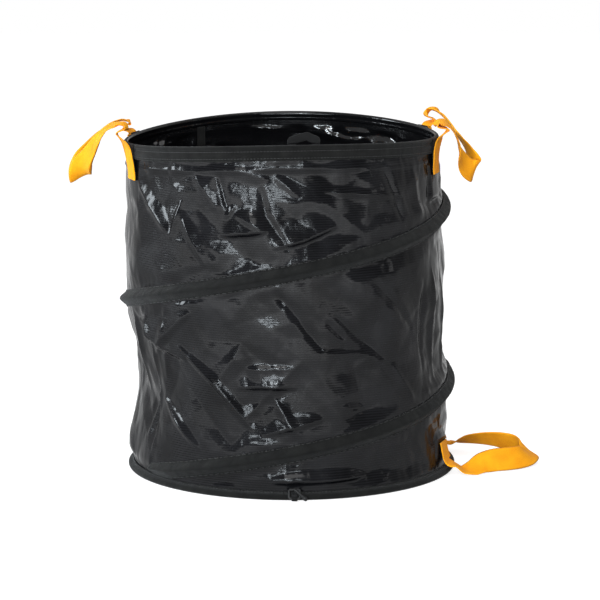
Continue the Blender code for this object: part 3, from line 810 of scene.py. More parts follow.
def plain(name, dark, light, roughness, scale, depth, **sockets):
    """Metal, plastic or thread: its tone, gloss and grain vary a little over the surface."""
    m = Maker(name, dark, roughness, **sockets)
    spot = add_node(m.tree, "NewGeometry")["Position"]
    grain = m.noise(spot, scale, 5.0, 0.6)
    colour = m.tones(m.noise(spot, scale / 9, 3.0), (0.3, dark), (0.7, light))
    rough = m.varied(grain, roughness - 0.08, roughness + 0.08)
    return m.give(colour, rough, m.bumps((grain, 0.3, depth)))


def grey(level):
    return (level, level, level)


# Faces inside the bag get darker copies of the cloth and the tape: painted shade.
INSIDE_PAINTED_SHADE = (0.0020, 0.0020, 0.0024)
FABRIC_OUT = fabric("coated_fabric_outside", (0.001, 0.001, 0.0014), (0.0095, 0.0095, 0.0108), 0.02, 0.066)
FABRIC_IN_SHADED = fabric("coated_fabric_inside_shaded", INSIDE_PAINTED_SHADE, (0.004, 0.004, 0.0045), 0.02, 0.40)
TAPE_MAT = tape("binding_tape_woven", grey(0.0050), (0.0125, 0.0125, 0.0118))
TAPE_BACK_SHADED = fabric("binding_tape_back_shaded", INSIDE_PAINTED_SHADE, (0.005, 0.005, 0.0055), 0.02, 0.12)
ORANGES = ((0.74, 0.23, 0.005), (1.0, 0.41, 0.011), (1.0, 0.49, 0.020))
ORANGE = webbing("orange_webbing_woven", *ORANGES, 0.78, 0.06)
BLACK_WEB = webbing("black_webbing_woven", grey(0.005), grey(0.011), (0.020, 0.020, 0.021), 0.80, 0.06)
STEELS = ((0.34, 0.34, 0.36), (0.52, 0.52, 0.53))
STEEL = plain("spring_steel_drawn", *STEELS, 0.34, 700.0, 0.00004, Metallic=1.0)
MOULDED = {"roughness": 0.42, "scale": 900.0, "depth": 0.00005, "Specular_IOR_Level": 0.12}
PLASTIC = plain("black_plastic_moulded", grey(0.010), grey(0.022), **MOULDED)
BLACK_THREAD = plain("black_thread", grey(0.010), grey(0.030), 0.55, 2500.0, 0.00008)
ORANGE_THREAD = plain("orange_thread", (0.62, 0.18, 0.006), (0.85, 0.30, 0.012), 0.55, 2500.0, 0.00008)


# Wall

def bag_wall():
    angles = SEAM_ANGLE + 360 * np.arange(COLUMNS) / COLUMNS
    faces_out, faces_in = (spots(angles, radii, WALL_Z) for radii in (WALL_R, WALL_R - WALL))
    points = np.concatenate([faces_out, faces_in]).reshape(-1, 3)
    skin, base, top = quads(ROWS, COLUMNS), ROWS * COLUMNS, (ROWS - 1) * COLUMNS
    j = np.arange(COLUMNS)
    k = (j + 1) % COLUMNS
    upper = np.stack([top + j, top + k, base + top + k, base + top + j], -1)
    lower = np.stack([k, j, base + j, base + k], -1)
    faces = np.concatenate([skin, (skin + base)[:, ::-1], upper, lower])
    z0, z1 = WALL_Z[:-1], WALL_Z[1:]
    u0, u1 = (np.broadcast_to(u, z0.shape) for u in (U[:-1], U[1:]))
    corners = [(u, z, 0 * z) for u, z in ((u0, z0), (u1, z0), (u1, z1), (u0, z1))]
    cloth = np.array(corners).transpose(2, 3, 0, 1)
    strip = cloth.reshape(-1, 4, 3)
    strip = np.concatenate([strip, strip[:, ::-1], cloth[-1][:, [3, 2, 2, 3]], cloth[0][:, [1, 0, 0, 1]]])
    kinds = np.repeat([0, 1, 0], (len(skin), len(skin), 2 * COLUMNS))
    made = mesh_piece("bag_wall_cloth", points, faces, [FABRIC_OUT, FABRIC_IN_SHADED], strip, kinds)
    return dress(made, "base", "coated_fabric", "bag_wall", flattened=True)


WALL_CLOTH = bag_wall()


# Spiral sleeve, its wire and stitches

# Degrees between stations, then shares of the sleeve's half width: its points, where its ridge ends, how
# round the crest is and where it is stitched. Its thickness and its puckers are in metres.
SLEEVE_STEP = 0.75
RIDGE = np.linspace(-1, 1, 23)
SLEEVE_SHOULDER = 0.84
SLEEVE_SOFT = 0.24
SLEEVE_STITCHED = 0.9
SLEEVE_BACK = 0.0009
SLEEVE_PUCKER = 0.0008


def sleeve_line():
    """The sleeve's stations: angle, lower and upper edge, way along and the wire's height over the wall."""
    turned = np.arange(SPIRAL_START, SPIRAL_END - 1e-6, -SLEEVE_STEP)
    low, high = np.array([sleeve_edges(a) for a in turned]).T
    full = np.minimum(1, (high - low - SLEEVE_END_HEIGHT) / (SLEEVE_HEIGHT - SLEEVE_END_HEIGHT))
    least = CLEARANCE + WIRE_RADIUS
    stand = least + full * (SLEEVE_PROUD - TAPE - CLEARANCE - WIRE_RADIUS - least)
    return turned, low, high, np.radians(SPIRAL_START - turned) * TURN_RADIUS, stand


def sleeve():
    turned, low, high, along, stand = sleeve_line()
    angles, middle = turned[:, None], ((low + high) / 2)[:, None]
    rise = np.clip(np.abs(RIDGE) / SLEEVE_SHOULDER, 0, 1)
    soft = SLEEVE_SOFT
    ridge = 1 - (np.sqrt(rise**2 + soft**2) - soft) / (math.sqrt(1 + soft**2) - soft)
    z = middle + (high - low)[:, None] / 2 * RIDGE
    ground = np.maximum(wall_at(angles, z), wall_at(angles, middle) - 0.0006)
    waves = [
        0.9 * noise.noise((95 * s, 1.6 * x, 4)) + 0.5 * noise.noise((230 * s, 2.5 * x, 9))
        for s in along
        for x in RIDGE
    ]
    pucker = SLEEVE_PUCKER * np.array(waves).reshape(z.shape)
    outer = ground + CLEARANCE + TAPE * 0.8 + (stand + WIRE_RADIUS + CLEARANCE)[:, None] * ridge
    outer += pucker * (0.25 + np.sin(np.pi * rise))
    inner = np.maximum(ground + 0.5 * CLEARANCE, outer - SLEEVE_BACK)
    z += 0.375 * pucker
    face, back = spots(angles, outer, z), spots(angles, inner, z)[:, ::-1]
    across = np.concatenate([RIDGE, RIDGE[::-1]]) * SLEEVE_HEIGHT / 2
    made = loft("spiral_sleeve_tape", np.concatenate([face, back], axis=1), TAPE_MAT, along, across)
    dress(made, "base", "binding_tape", "spiral_sleeve", flattened=True)
    stitches = []
    for edge in (-SLEEVE_STITCHED, SLEEVE_STITCHED):
        m = round((edge + 1) / 2 * (len(RIDGE) - 1))
        for s in np.arange(0.004, along[-1] - 0.004, STITCH_SPACING):
            n = min(int(np.searchsorted(along, s)), len(along) - 2)
            out = np.array(outward(turned[n]))
            stitches.append((face[n, m] + 0.00005 * out, face[n + 1, m] - face[n, m], out))
    made = beads("spiral_sleeve_stitches", stitches, STITCH_LENGTH, STITCH_RADIUS, BLACK_THREAD)
    dress(made, "base", "binding_tape", flattened=True)


def spiral_wire():
    turned, low, high, _, stand = sleeve_line()
    middle = (low + high) / 2
    radius = wall_at(turned, middle) + stand
    turns = np.linspace(0, 2 * math.pi, 10, endpoint=False)
    r = radius[:, None] + WIRE_RADIUS * np.cos(turns)
    z = middle[:, None] + WIRE_RADIUS * np.sin(turns)
    made = loft("spiral_wire_drawn", spots(turned[:, None], r, z), STEEL)
    dress(made, "base", "spring_steel", "spiral_wire", flattened=True)


sleeve()
spiral_wire()


# Rim hem and base binding

ROUND_STEPS = 720
HEM_FACE = RIM_RADIUS + CLEARANCE + TAPE

# The hem's outer face as (out, up) from its foot, and its two last points from the rim's top
HEM_WAVES = ((0, 0), (0.0002, 0.0012), (-0.0001, 0.0024), (-0.0002, 0.0032))
HEM_WAVES += ((0.0003, 0.0048), (0.0004, 0.0080))
HEM_NECK = ((0.0001, -0.0085), (-0.0005, -0.0072))

# The points of the hem's outline whose faces, inside the bag, take the tape's shiny back, darker there as
# painted shade
HEM_BACK = range(16, 25)


def swell(angle):
    """How much the hem stands out over its hoop's ferrule."""
    ferrule = (RIM_FERRULE_ANGLE + STEP * n for n in range(FERRULE_STEPS + 1))
    beside = min(abs((angle - a + 180) % 360 - 180) for a in ferrule)
    return (FERRULE_RADIUS - WIRE_RADIUS) * float(smooth(1.6 - beside / STEP))


def hem_outline(angle):
    """The hem's section as (radius, height), from its outer foot over the hoop to its inner foot and back."""
    top = rim_top(angle)
    channel = WIRE_RADIUS + CLEARANCE + swell(angle) + TAPE
    r0, z0 = RIM_RADIUS - WALL / 2, top - channel
    inner = RIM_RADIUS - WALL - CLEARANCE - TAPE
    foot, inner_foot = top - HEM_DEPTH, top - HEM_INNER_DEPTH
    return [
        *((HEM_FACE + r, foot + z) for r, z in HEM_WAVES),
        *((HEM_FACE + r, top + z) for r, z in HEM_NECK),
        *arc(r0, z0, channel, -35, 215, 14),
        (inner + 0.0004, top - 0.0070),
        (inner, top - 0.0085),
        (inner, inner_foot),
        (inner + TAPE * 0.6, inner_foot),
        (inner + TAPE * 0.8, top - 0.0080),
        *arc(r0, z0, channel - TAPE * 0.8, 210, -30, 8),
        (HEM_FACE - TAPE * 0.8, top - 0.0085),
        (HEM_FACE - TAPE * 0.8, foot + 0.004),
        (HEM_FACE - TAPE * 0.7, foot),
    ]


def binding_outline(_):
    """The binding's section as (radius, height), the same all round."""
    cover = TAPE + CLEARANCE + FERRULE_RADIUS
    r0, z0 = BASE_RADIUS + BINDING_PROUD - cover, cover
    channel = FERRULE_RADIUS + CLEARANCE + TAPE
    face, top = BASE_RADIUS + CLEARANCE, BINDING_HEIGHT
    return [
        (face, 0),
        (face + 0.0022, 0),
        *arc(r0, z0, channel, -90, 66, 13),
        (face + TAPE * 1.5, z0 + channel * sin(66) + 0.0012),
        (face + TAPE * 0.9, top - 0.0016),
        (face + TAPE * 0.9, top - 0.0003),
        (face + TAPE * 0.5, top),
        (face, top),
        (face, top - TAPE),
        *arc(r0, z0, channel - TAPE * 0.8, 60, -80, 8),
        (face, TAPE),
    ]


def rounds(name, outline, seed, pucker, body, node, inside=()):
    """A tape that runs once round: its outline at each angle, puckered by its stitching. inside numbers the
    outline's points whose faces take the tape's shiny back, painted darker there as shade inside the bag."""
    angles = np.arange(ROUND_STEPS) * 360 / ROUND_STEPS + SEAM_ANGLE
    rows = []
    for a in angles:
        c, s = cos(a), sin(a)
        radii, heights = np.array(outline(a)).T
        waves = [
            noise.noise((30 * c + seed, 30 * s, 60 * z)) + 0.7 * noise.noise((75 * c, 75 * s + seed, 40 * z))
            for z in heights
        ]
        rows.append(spots(a, radii + pucker * np.array(waves), heights))
    along = np.radians(angles - SEAM_ANGLE) * BASE_RADIUS
    made = loft(name, np.array(rows), TAPE_MAT, along, running(outline(0)), closed=True)
    if inside:
        made.data.materials.append(TAPE_BACK_SHADED)
        kinds = np.isin(np.arange(len(made.data.polygons)) % len(outline(0)), inside)
        made.data.polygons.foreach_set("material_index", kinds.astype(np.int32))
    dress(made, body, "binding_tape", node)


def ring_stitches(name, spot, body):
    """A row of stitches once round, where spot(angle) gives (radius, height)."""
    count = int(2 * math.pi * BASE_RADIUS / STITCH_SPACING)
    stitches = []
    for a in (360 * n / count for n in range(count)):
        here, there = place(a, *spot(a)), place(a + 0.5, *spot(a + 0.5))
        stitches.append((here, there - here, outward(a)))
    dress(beads(name, stitches, STITCH_LENGTH, STITCH_RADIUS, BLACK_THREAD), body, "binding_tape")


rounds("rim_hem_tape", hem_outline, 3, 0.00022, "rim", "rim_hem", HEM_BACK)
ring_stitches("rim_hem_lower_stitches", lambda a: (HEM_FACE + 0.00005, hem_foot(a) + 0.0030), "rim")
ring_stitches("rim_hem_upper_stitches", lambda a: (HEM_FACE - 0.00035, rim_top(a) - 0.0073), "rim")
rounds("base_binding_tape", binding_outline, 8, 0.00012, "base", "base_binding")
BINDING_STITCH = (BASE_RADIUS + CLEARANCE + TAPE * 0.95, BINDING_HEIGHT - 0.0013)
ring_stitches("base_binding_stitches", lambda a: BINDING_STITCH, "base")


# Floor panel

FLOOR_TURNS = 240
FLOOR_RINGS = 46
FLOOR_FOLD = 0.0022


def floor_panel():
    """The round floor: it wrinkles a little inside, and its edge is turned up along the wall."""
    turned = np.arange(FLOOR_TURNS) * 360 / FLOOR_TURNS
    edge = BASE_RADIUS - WALL - CLEARANCE

    def ring(radius, z):
        return [(*place(a, radius, z)[:2], z) for a in turned]

    rows = []
    for share in np.linspace(0, 1, FLOOR_RINGS)[1:] ** 0.9:
        row = []
        for a in turned:
            x, y = (share * (edge - FLOOR - 0.0006) * turn(a) for turn in (cos, sin))
            fold = noise.noise((9 * x, 9 * y, 2)) + 0.6 * abs(noise.noise((22 * x + 5, 22 * y, 7)))
            fold += 0.5 * noise.noise((16 * cos(a), 16 * sin(a), 3)) * share**2
            row.append((x, y, FLOOR + FLOOR_FOLD * max(0, 0.35 + fold) * float(smooth((1 - share) / 0.06))))
        rows.append(row)
    rows += [ring(edge - FLOOR * 0.8 + 0.0002, z) for z in np.linspace(FLOOR, FLOOR_LIP, 5)]
    rows += [ring(edge - 0.00005, z) for z in (FLOOR_LIP, FLOOR_LIP / 2, 0.0)]
    rows += [[(x * k, y * k, 0) for x, y, _ in rows[-1]] for k in np.linspace(0.98, 0.05, 20)]
    points = np.vstack([np.array(rows).reshape(-1, 3), (0, 0, FLOOR + 0.001), (0, 0, 0)])
    faces = quads(len(rows), FLOOR_TURNS).tolist()
    last = (len(rows) - 1) * FLOOR_TURNS
    for m in range(FLOOR_TURNS):
        k = (m + 1) % FLOOR_TURNS
        faces += [[k, m, len(points) - 2], [last + m, last + k, len(points) - 1]]
    strip = points[np.concatenate(faces)] * (1, 1, 0)
    made = facing_out(mesh_piece("floor_panel_cloth", points, faces, [FABRIC_IN_SHADED], strip))
    return dress(made, "base", "coated_fabric", "floor_panel")


FLOOR_CLOTH = floor_panel()


# Seam tape inside the wall

def seam_tape():
    foot, top = FLOOR_LIP + CLEARANCE, rim_top(SEAM_ANGLE) - HEM_INNER_DEPTH - CLEARANCE
    half = math.degrees(SEAM_TAPE_WIDTH / 2 / BASE_RADIUS)
    route = []
    for z in np.linspace(foot, top, 40):
        beside = min(float(wall_at(SEAM_ANGLE + d, z)) for d in (-half, 0, half))
        radius = (beside - WALL) * cos(half) - CLEARANCE - TAPE / 2
        route.append((place(SEAM_ANGLE, radius, z), sideways(SEAM_ANGLE)))
    made = Band(route, SEAM_TAPE_WIDTH, TAPE, 0.003).piece("wall_seam_tape_sewn", TAPE_MAT, 5, 0.0)
    dress(made, "base", "binding_tape", "wall_seam_tape", flattened=True)


seam_tape()


# Handles

# Each upper loop from its + side end to the other: millimetres (side, out, up), then the way its width points
LEFT_LOOP = (
    (72.5, -3.5, 3.5, 1, 0, -0.08), (70, 0.5, 7.5, 1, 0, -0.14), (66, 8, 7.2, 0.99, 0, -0.18),
    (61, 17.5, 4.1, 0.98, 0, -0.22), (55.5, 25, -2.1, 0.95, -0.03, -0.3), (49, 32, -11.2, 0.9, -0.12, -0.4),
    (40, 39.2, -21.8, 0.83, -0.28, -0.45), (28, 48.8, -37, 0.74, -0.47, -0.38),
    (15, 55.3, -49.5, 0.5, -0.8, 0), (5, 57.4, -58.5, 0.28, -0.9, 0.32), (-2, 57.8, -62, 0, -0.86, 0.5),
    (-8, 58.3, -60, -0.24, -0.88, 0.4), (-15, 58.6, -53, -0.42, -0.88, 0.16),
    (-27, 54.5, -40, -0.64, -0.72, -0.12), (-38, 46, -27, -0.8, -0.46, -0.32),
    (-47, 38, -15, -0.9, -0.2, -0.34), (-53.5, 31.3, -6.4, -0.96, 0, -0.25),
    (-58, 25.4, 0.3, -0.98, 0, -0.15), (-63, 17.5, 5.4, -1, 0, -0.08), (-69, 7, 8.4, -1, 0, -0.05),
    (-72.5, -2, 5.6, -1, 0, 0),
)
RIGHT_LOOP = (
    (72.5, -4.6, 2.6, 0.99, -0.1, 0), (71.2, -2.1, 7.5, 0.99, -0.12, 0), (68.8, 2.3, 10.3, 1, -0.04, 0),
    (64.5, 6.7, 9.1, 1, 0, 0), (58.7, 11.7, 6.1, 1, 0.02, -0.06), (51.5, 17.2, 1.4, 1, 0.05, -0.12),
    (43.8, 22, -4.7, 1, 0.08, -0.18), (34.7, 26.7, -11.5, 1, 0.1, -0.22), (25.6, 31.7, -19.1, 1, 0.1, -0.26),
    (16.5, 36.3, -26.3, 1, 0.08, -0.3), (8, 40.2, -33.6, 0.97, 0.02, -0.38),
    (-0.5, 43.4, -41.6, 0.85, -0.18, -0.52), (-8.4, 46.8, -50.7, 0.5, -0.36, -0.78),
    (-16.3, 49.2, -59, 0.05, -0.36, -0.93), (-24, 45.2, -60.7, -0.34, -0.42, -0.82),
    (-30.2, 37.4, -56.2, -0.52, -0.48, -0.68), (-35.5, 30.6, -47.9, -0.66, -0.42, -0.58),
    (-40.5, 26.6, -38.7, -0.84, -0.25, -0.42), (-44.7, 24.9, -31.3, -0.94, -0.05, -0.2),
    (-49.4, 23.1, -21.9, -0.98, 0, -0.1), (-55.5, 19, -12.1, -0.99, 0, -0.1),
    (-61.9, 13.3, -3.3, -0.99, 0, -0.14), (-67.7, 6.9, 3.1, -0.98, 0, -0.2),
    (-71.3, -0.5, 5, -0.98, 0, -0.22), (-73.3, -6.8, 2.5, -1, 0, -0.14),
)

# The loop on the floor, each run root to tip: shares of (half spread, reach, drop), then its width's way
FLOOR_LOOP_REAR = (
    (1, 0, 0, -1, 0, 0), (1, 0.05, 0.04, -1, 0, 0.12), (1, 0.11, 0.12, -0.93, 0, 0.36),
    (0.98, 0.2, 0.3, -0.84, 0, 0.54), (0.92, 0.33, 0.48, -0.76, 0, 0.65), (0.84, 0.47, 0.54, -0.68, 0, 0.73),
    (0.74, 0.61, 0.48, -0.56, 0, 0.82), (0.6, 0.76, 0.34, -0.38, -0.22, 0.88),
    (0.4, 0.86, 0.22, -0.2, -0.56, 0.8), (0.18, 0.9, 0.12, -0.07, -0.82, 0.57),
)
FLOOR_LOOP_FRONT = (
    (1, 0, 0, -1, 0, 0), (1, 0.05, -0.3, -1, 0, 0), (1, 0.11, -0.66, -1, 0, 0.1),
    (0.94, 0.21, -0.6, -0.9, 0, 0.42), (0.84, 0.34, -0.12, -0.66, 0, 0.75), (0.76, 0.48, 0.1, -0.42, 0, 0.91),
    (0.69, 0.62, 0.14, -0.34, 0, 0.94), (0.58, 0.75, 0.16, -0.3, -0.2, 0.93),
    (0.4, 0.85, 0.16, -0.18, -0.56, 0.81), (0.18, 0.89, 0.1, -0.07, -0.82, 0.57),
    (0, 0.9, 0.06, 0, -0.9, 0.44),
)


def swing_axis(name):
    angle, _, tilt = HANDLES[name]
    return (sideways(angle) + tilt * UP).normalized()


def hem_skirt(angle):
    """What an upper tail lies on, as (height, radius) from its foot up over the hem."""
    top = rim_top(angle)
    crown = RIM_RADIUS - WALL / 2 + WIRE_RADIUS + CLEARANCE + TAPE
    below = [(z, float(wall_at(angle, z))) for z in (top - TAIL_DROP, top - 2 * HEM_DEPTH)]
    return [*below, (hem_foot(angle), crown), (top, crown)]


def free_loop(name, stations, middle, scale):
    """The loop's stations as (point, its width's way), from the sewn end on its + side to the other."""
    side, out = swing_axis(name), outward(HANDLES[name][0])
    axes = (side, out, out.cross(side))
    route = []
    for row in stations:
        point = sum((v * k * axis for v, k, axis in zip(row, scale, axes)), middle)
        route.append((point, sum((v * axis for v, axis in zip(row[3:], axes)), Vector())))
    return route


def box_stitches(name, band, start, end, body):
    """A stitched box with a cross, on both ends of a strap where it is sewn down."""
    stitches = []
    y = band.width / 2 - BOX_INSET
    lines = [(start, -y, end, -y), (end, -y, end, y), (start, y, start, -y), (start, -y, end, y)]
    lines.append((start, y, end, -y))
    for flip in (False, True):
        for s0, y0, s1, y1 in lines:
            length = math.hypot(s1 - s0, y1 - y0)
            for t in np.arange(0.0016, length, BOX_SPACING) / length:
                s = s0 + (s1 - s0) * t
                spot = band.spot(band.along[-1] - s if flip else s, y0 + (y1 - y0) * t, 0.00006)
                point, ahead, normal, way = spot
                run = (s1 - s0) / length * (-1 if flip else 1)
                stitches.append((point, ahead * run + way * (y1 - y0) / length, normal))
    dress(beads(name, stitches, BOX_LENGTH, BOX_RADIUS, ORANGE_THREAD), body, "orange_webbing")


def upper_handle(name, loop, words, seed):
    """Webbing in one run: up over the hem, round the free loop and down again, on two black backings."""
    at, aside, _ = HANDLES[name]
    away = 2 * CLEARANCE + BACKING + WEBBING / 2
    radius = hem_skirt(at)[-1][1] + away + TAIL_FLARE
    height = rim_top(at) + PIVOT_RISE
    middle = place(at, radius * cos(aside) + PIVOT_OUT, height)
    tails = {}
    for side, word in words.items():
        angle = at + side * aside
        skirt = hem_skirt(angle)
        lying = [(r + away, z) for z, r in skirt[:-1]] + [(skirt[-1][1] + away + TAIL_FLARE, skirt[-1][0])]
        tails[side] = [(place(angle, r, z), side * sideways(angle)) for r, z in lying]
        backing = [(place(angle, r + CLEARANCE + BACKING / 2, z), sideways(angle)) for z, r in skirt]
        strip = Band(backing, BACKING_WIDTH, BACKING)
        made = strip.piece(f"{name}_{word}_backing_strip", BLACK_WEB, side, 0.0001)
        dress(made, "rim", "black_webbing", f"{name}_{word}_backing")
    side, outer = swing_axis(name), outward(at)
    fold = LAZY_FOLD[0] * outer + LAZY_FOLD[1] * outer.cross(side)
    bends = [(middle + sign * radius * sin(aside) * side + fold, sign * side) for sign in (1, -1)]
    route = [*tails[1], bends[0], *free_loop(name, loop, middle, (0.001,) * 3), bends[1], *tails[-1][::-1]]
    band = Band(route, WEBBING_WIDTH, WEBBING)
    made = band.piece(f"{name}_handle_webbing", ORANGE, seed, 0.0005)
    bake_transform(made)
    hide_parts(f"{name}_handle_loop", f"{name}_front_tail", f"{name}_rear_tail")
    box_stitches(f"{name}_handle_stitches", band, 0.004, 0.034, "rim")


def base_handle():
    """Webbing in one run: down the wall, out over the binding, and round on its edge on the floor."""
    at, aside, _ = HANDLES["base"]
    spread = BASE_RADIUS * sin(aside)
    height = BINDING_HEIGHT + CLEARANCE + WEBBING / 2 + BASE_PIVOT_GAP
    out = math.sqrt((BASE_RADIUS + BINDING_PROUD) ** 2 - (spread - WEBBING_WIDTH / 2) ** 2) + BASE_PIVOT_GAP
    away = outward(at)
    middle = out * away + height * UP
    bend = height + BASE_TAIL_BEND
    tails = {}
    for side in (-1, 1):
        angle = at + side * aside
        tails[side] = []
        for z, slack in zip((BASE_TAIL_TOP, (BASE_TAIL_TOP + bend) / 2, bend), BASE_TAIL_SLACK):
            radius = float(wall_at(angle, z)) + CLEARANCE + WEBBING / 2 + slack
            tails[side].append((place(angle, radius, z), -side * sideways(angle)))
    front = [(-a, r, d, -side, out, up) for a, r, d, side, out, up in FLOOR_LOOP_FRONT[::-1]]
    loop = free_loop("base", [*FLOOR_LOOP_REAR, *front], middle, (spread, BASE_REACH, BASE_DROP))
    band = Band(tails[1] + loop + tails[-1][::-1], WEBBING_WIDTH, WEBBING)
    made = band.piece("base_handle_webbing", ORANGE, 9, 0.0004)
    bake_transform(made)
    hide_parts("base_handle_loop", "base_front_tail", "base_rear_tail")
    box_stitches("base_handle_stitches", band, 0.003, 0.024, "base")


upper_handle("left", LEFT_LOOP, {1: "front", -1: "rear"}, 3)
upper_handle("right", RIGHT_LOOP, {1: "rear", -1: "front"}, 6)
base_handle()


# Closing strap, ring, tab and toggle

# The middle of the strap's loop, from left to right: shares of (half spread, rise), then its width's way as
# (right, up). FOOT_SINK is how far its feet lie below it.
STRAP_ARCH = (
    (-0.10, 0.60, 0.6, -0.8),
    (0.25, 0.70, 0, -1),
    (0.58, 0.52, -0.5, -0.86),
)
FOOT_SINK = 0.0012

# How square the ring's section is, and the toggle's shank as shares of (its length, its radius)
RING_SQUARE = 0.55
TOGGLE_SHANK = ((0.1, 1), (0.5, 0.96), (1, 1), (1.06, 1.1))


def closure_strap():
    crown = (RIM_RADIUS - WALL / 2 - WIRE_RADIUS - CLEARANCE - TAPE) * cos(STEP / 2)
    radius = crown - CLEARANCE - CLOSURE_THICKNESS / 2
    height = rim_top(CLOSURE_ANGLE) + CLEARANCE + CLOSURE_THICKNESS
    half = CLOSURE_SPREAD / 2
    foot_angle = math.degrees(math.asin(half / radius))
    middle = Vector((lean(height), 0, height)) + radius * cos(foot_angle) * outward(CLOSURE_ANGLE)
    right = sideways(CLOSURE_ANGLE)
    for side, word in ((-1, "left"), (1, "right")):
        angle = CLOSURE_ANGLE + side * foot_angle
        low = place(angle, radius, height - FOOT_SINK - ANCHOR_DEPTH)
        high = middle + side * half * right - FOOT_SINK * UP
        route = [(low, sideways(angle)), ((low + high) / 2, sideways(angle)), (high, right)]
        foot = Band(route, CLOSURE_WEBBING, CLOSURE_THICKNESS)
        made = foot.piece(f"closing_strap_{word}_foot", BLACK_WEB, side, 0.0)
        dress(made, "rim", "black_webbing", f"closure_strap_{word}_foot")
    root = CLOSURE_WEBBING / 3
    rows = [(-half, 0, 1, 0), (-half, root, 1, 0)]
    rows += [(x * half, z * CLOSURE_RISE, across, up) for x, z, across, up in STRAP_ARCH]
    rows += [(half, root, -1, 0), (half, 0, -1, 0)]
    route = [(middle + x * right + z * UP, across * right + up * UP) for x, z, across, up in rows]
    loop = Band(route, CLOSURE_WEBBING, CLOSURE_THICKNESS, 0.0008)
    made = loop.piece("closing_strap_loop", BLACK_WEB, 4, 0.0002)
    dress(made, "closure_strap", "black_webbing", "closure_strap")


def rounded_path(width, height, corner, steps=8):
    """A rectangle with round corners that stands on 0, from its lower right corner round to the left."""
    x, top = width / 2 - corner, height - corner
    corners = ((x, corner, -90), (x, top, 0), (-x, top, 90), (-x, corner, 180))
    return np.array([spot for u, v, start in corners for spot in arc(u, v, corner, start, start + 90, steps)])


def squared(share):
    return abs(share) ** RING_SQUARE * math.copysign(1, share)


def closing_ring(middle, right, up, out):
    path = rounded_path(RING_WIDTH - RING_BAND, RING_HEIGHT - RING_BAND, RING_CORNER - RING_BAND / 2)
    ahead = normalised(np.roll(path, -1, axis=0) - np.roll(path, 1, axis=0))
    sections = []
    for (x, y), (ahead_x, ahead_y) in zip(path, ahead):
        row = []
        for t in np.linspace(0, 360, 16, endpoint=False):
            w, d = squared(cos(t)) * RING_BAND / 2, squared(sin(t)) * RING_THICKNESS / 2
            row.append(middle + float(x + ahead_y * w) * right + float(y - ahead_x * w) * up + float(d) * out)
        sections.append(row)
    made = loft("closing_ring_moulded", np.array(sections), PLASTIC, closed=True)
    dress(made, "closure_ring", "black_plastic", "closure_ring")


def ring_tab(middle, right, edge):
    """The tape tab that holds the ring: from the binding round the ring's lower bar and back."""
    wire, ends = TAPE + CLEARANCE + FERRULE_RADIUS, []
    for rise in (-edge, edge):
        level = middle.z + rise - wire
        reach = BASE_RADIUS + BINDING_PROUD - wire + math.sqrt(max(wire**2 - level**2, 0))
        ends.append((reach + middle.y, rise))
    line = [ends[0], *arc(0, 0, edge, -90, 90, 9), ends[1]]
    tab = Band([(middle + Vector((0, -a, b)), right) for a, b in line], TAB_WIDTH, TAB, 0.0005)
    dress(tab.piece("closing_ring_tab", BLACK_WEB, 2, 0.0), "base", "black_webbing", "closure_tab")


def toggle(start, along, across, out):
    """The peg: its outline as (way along, radius) from the shank's end over the head to the tip."""
    shank, head, tip = 0.62 * TOGGLE_LENGTH, 0.8 * TOGGLE_LENGTH, TOGGLE_LENGTH
    r, h = TOGGLE_RADIUS, TOGGLE_HEAD
    outline = [(0, 0.05 * r), (0.0002, 0.55 * r), (0.0009, 0.9 * r)]
    outline += [(d * shank, size * r) for d, size in TOGGLE_SHANK]
    outline += [(0.90 * head, 0.96 * h), (0.95 * head, h), (1.06 * head, h)]
    outline += [(0.5 * (head + tip), 0.93 * h), (0.97 * tip, 0.6 * h), (tip, 0.05 * h)]
    turns = np.linspace(0, 360, 20, endpoint=False)
    sections = [
        [start + d * along + size * (cos(t) * across + sin(t) * out) for t in turns] for d, size in outline
    ]
    made = loft("closing_toggle_moulded", np.array(sections), PLASTIC)
    dress(made, "closure_ring", "black_plastic", "closure_toggle")


def closure_ring():
    bore = math.hypot(RING_BAND, RING_THICKNESS) / 2 + CLEARANCE
    axis_out = BASE_RADIUS + BINDING_PROUD + CLEARANCE + bore + TAB
    middle = Vector((RING_X, -axis_out, bore + TAB + CLEARANCE))
    right = Vector((1, 0, 0))
    up = Vector((0, sin(RING_LEAN), cos(RING_LEAN)))
    out = right.cross(up)
    closing_ring(middle, right, up, out)
    ring_tab(middle, right, bore + TAB / 2)
    start = middle + (RING_HEIGHT - RING_BAND) * up + (RING_THICKNESS / 2 + CLEARANCE + TOGGLE_RADIUS) * out
    c, s = cos(TOGGLE_TILT), sin(TOGGLE_TILT)
    toggle(start, c * right + s * up, c * up - s * right, out)


closure_strap()
closure_ring()

for name in ("rim_hoop_wire", "base_hoop_wire", "rim_wire_ferrule", "base_wire_ferrule"):
    frame["nodes"][name].data.materials.clear()
    frame["nodes"][name].data.materials.append(STEEL)


# Studio

STUDIO_REACH = 6
STUDIO_GAP = 0.0006
STUDIO_GREY = 0.45
AMBIENT = 0.40

# How bright the sweep is where it is mirrored: (from, to, strength there, strength here)
FLOOR_TOWARD = (-0.35, -1.0, 0.0)
FLOOR_GLOW = (0.30, 2.20, 0.82, 3.0)
BACKDROP_GLOW = (-0.25, 0.25, 0.30, 1.0)


def seen_or_mirrored(tree):
    """1 for camera, glossy and transmission rays."""
    rays = add_node(tree, "LightPath")
    seen = rays["Is Camera Ray"]
    for other in ("Is Glossy Ray", "Is Transmission Ray"):
        seen = add_node(tree, "Math", {0: seen, 1: rays[other]}, operation="MAXIMUM")[0]
    return seen


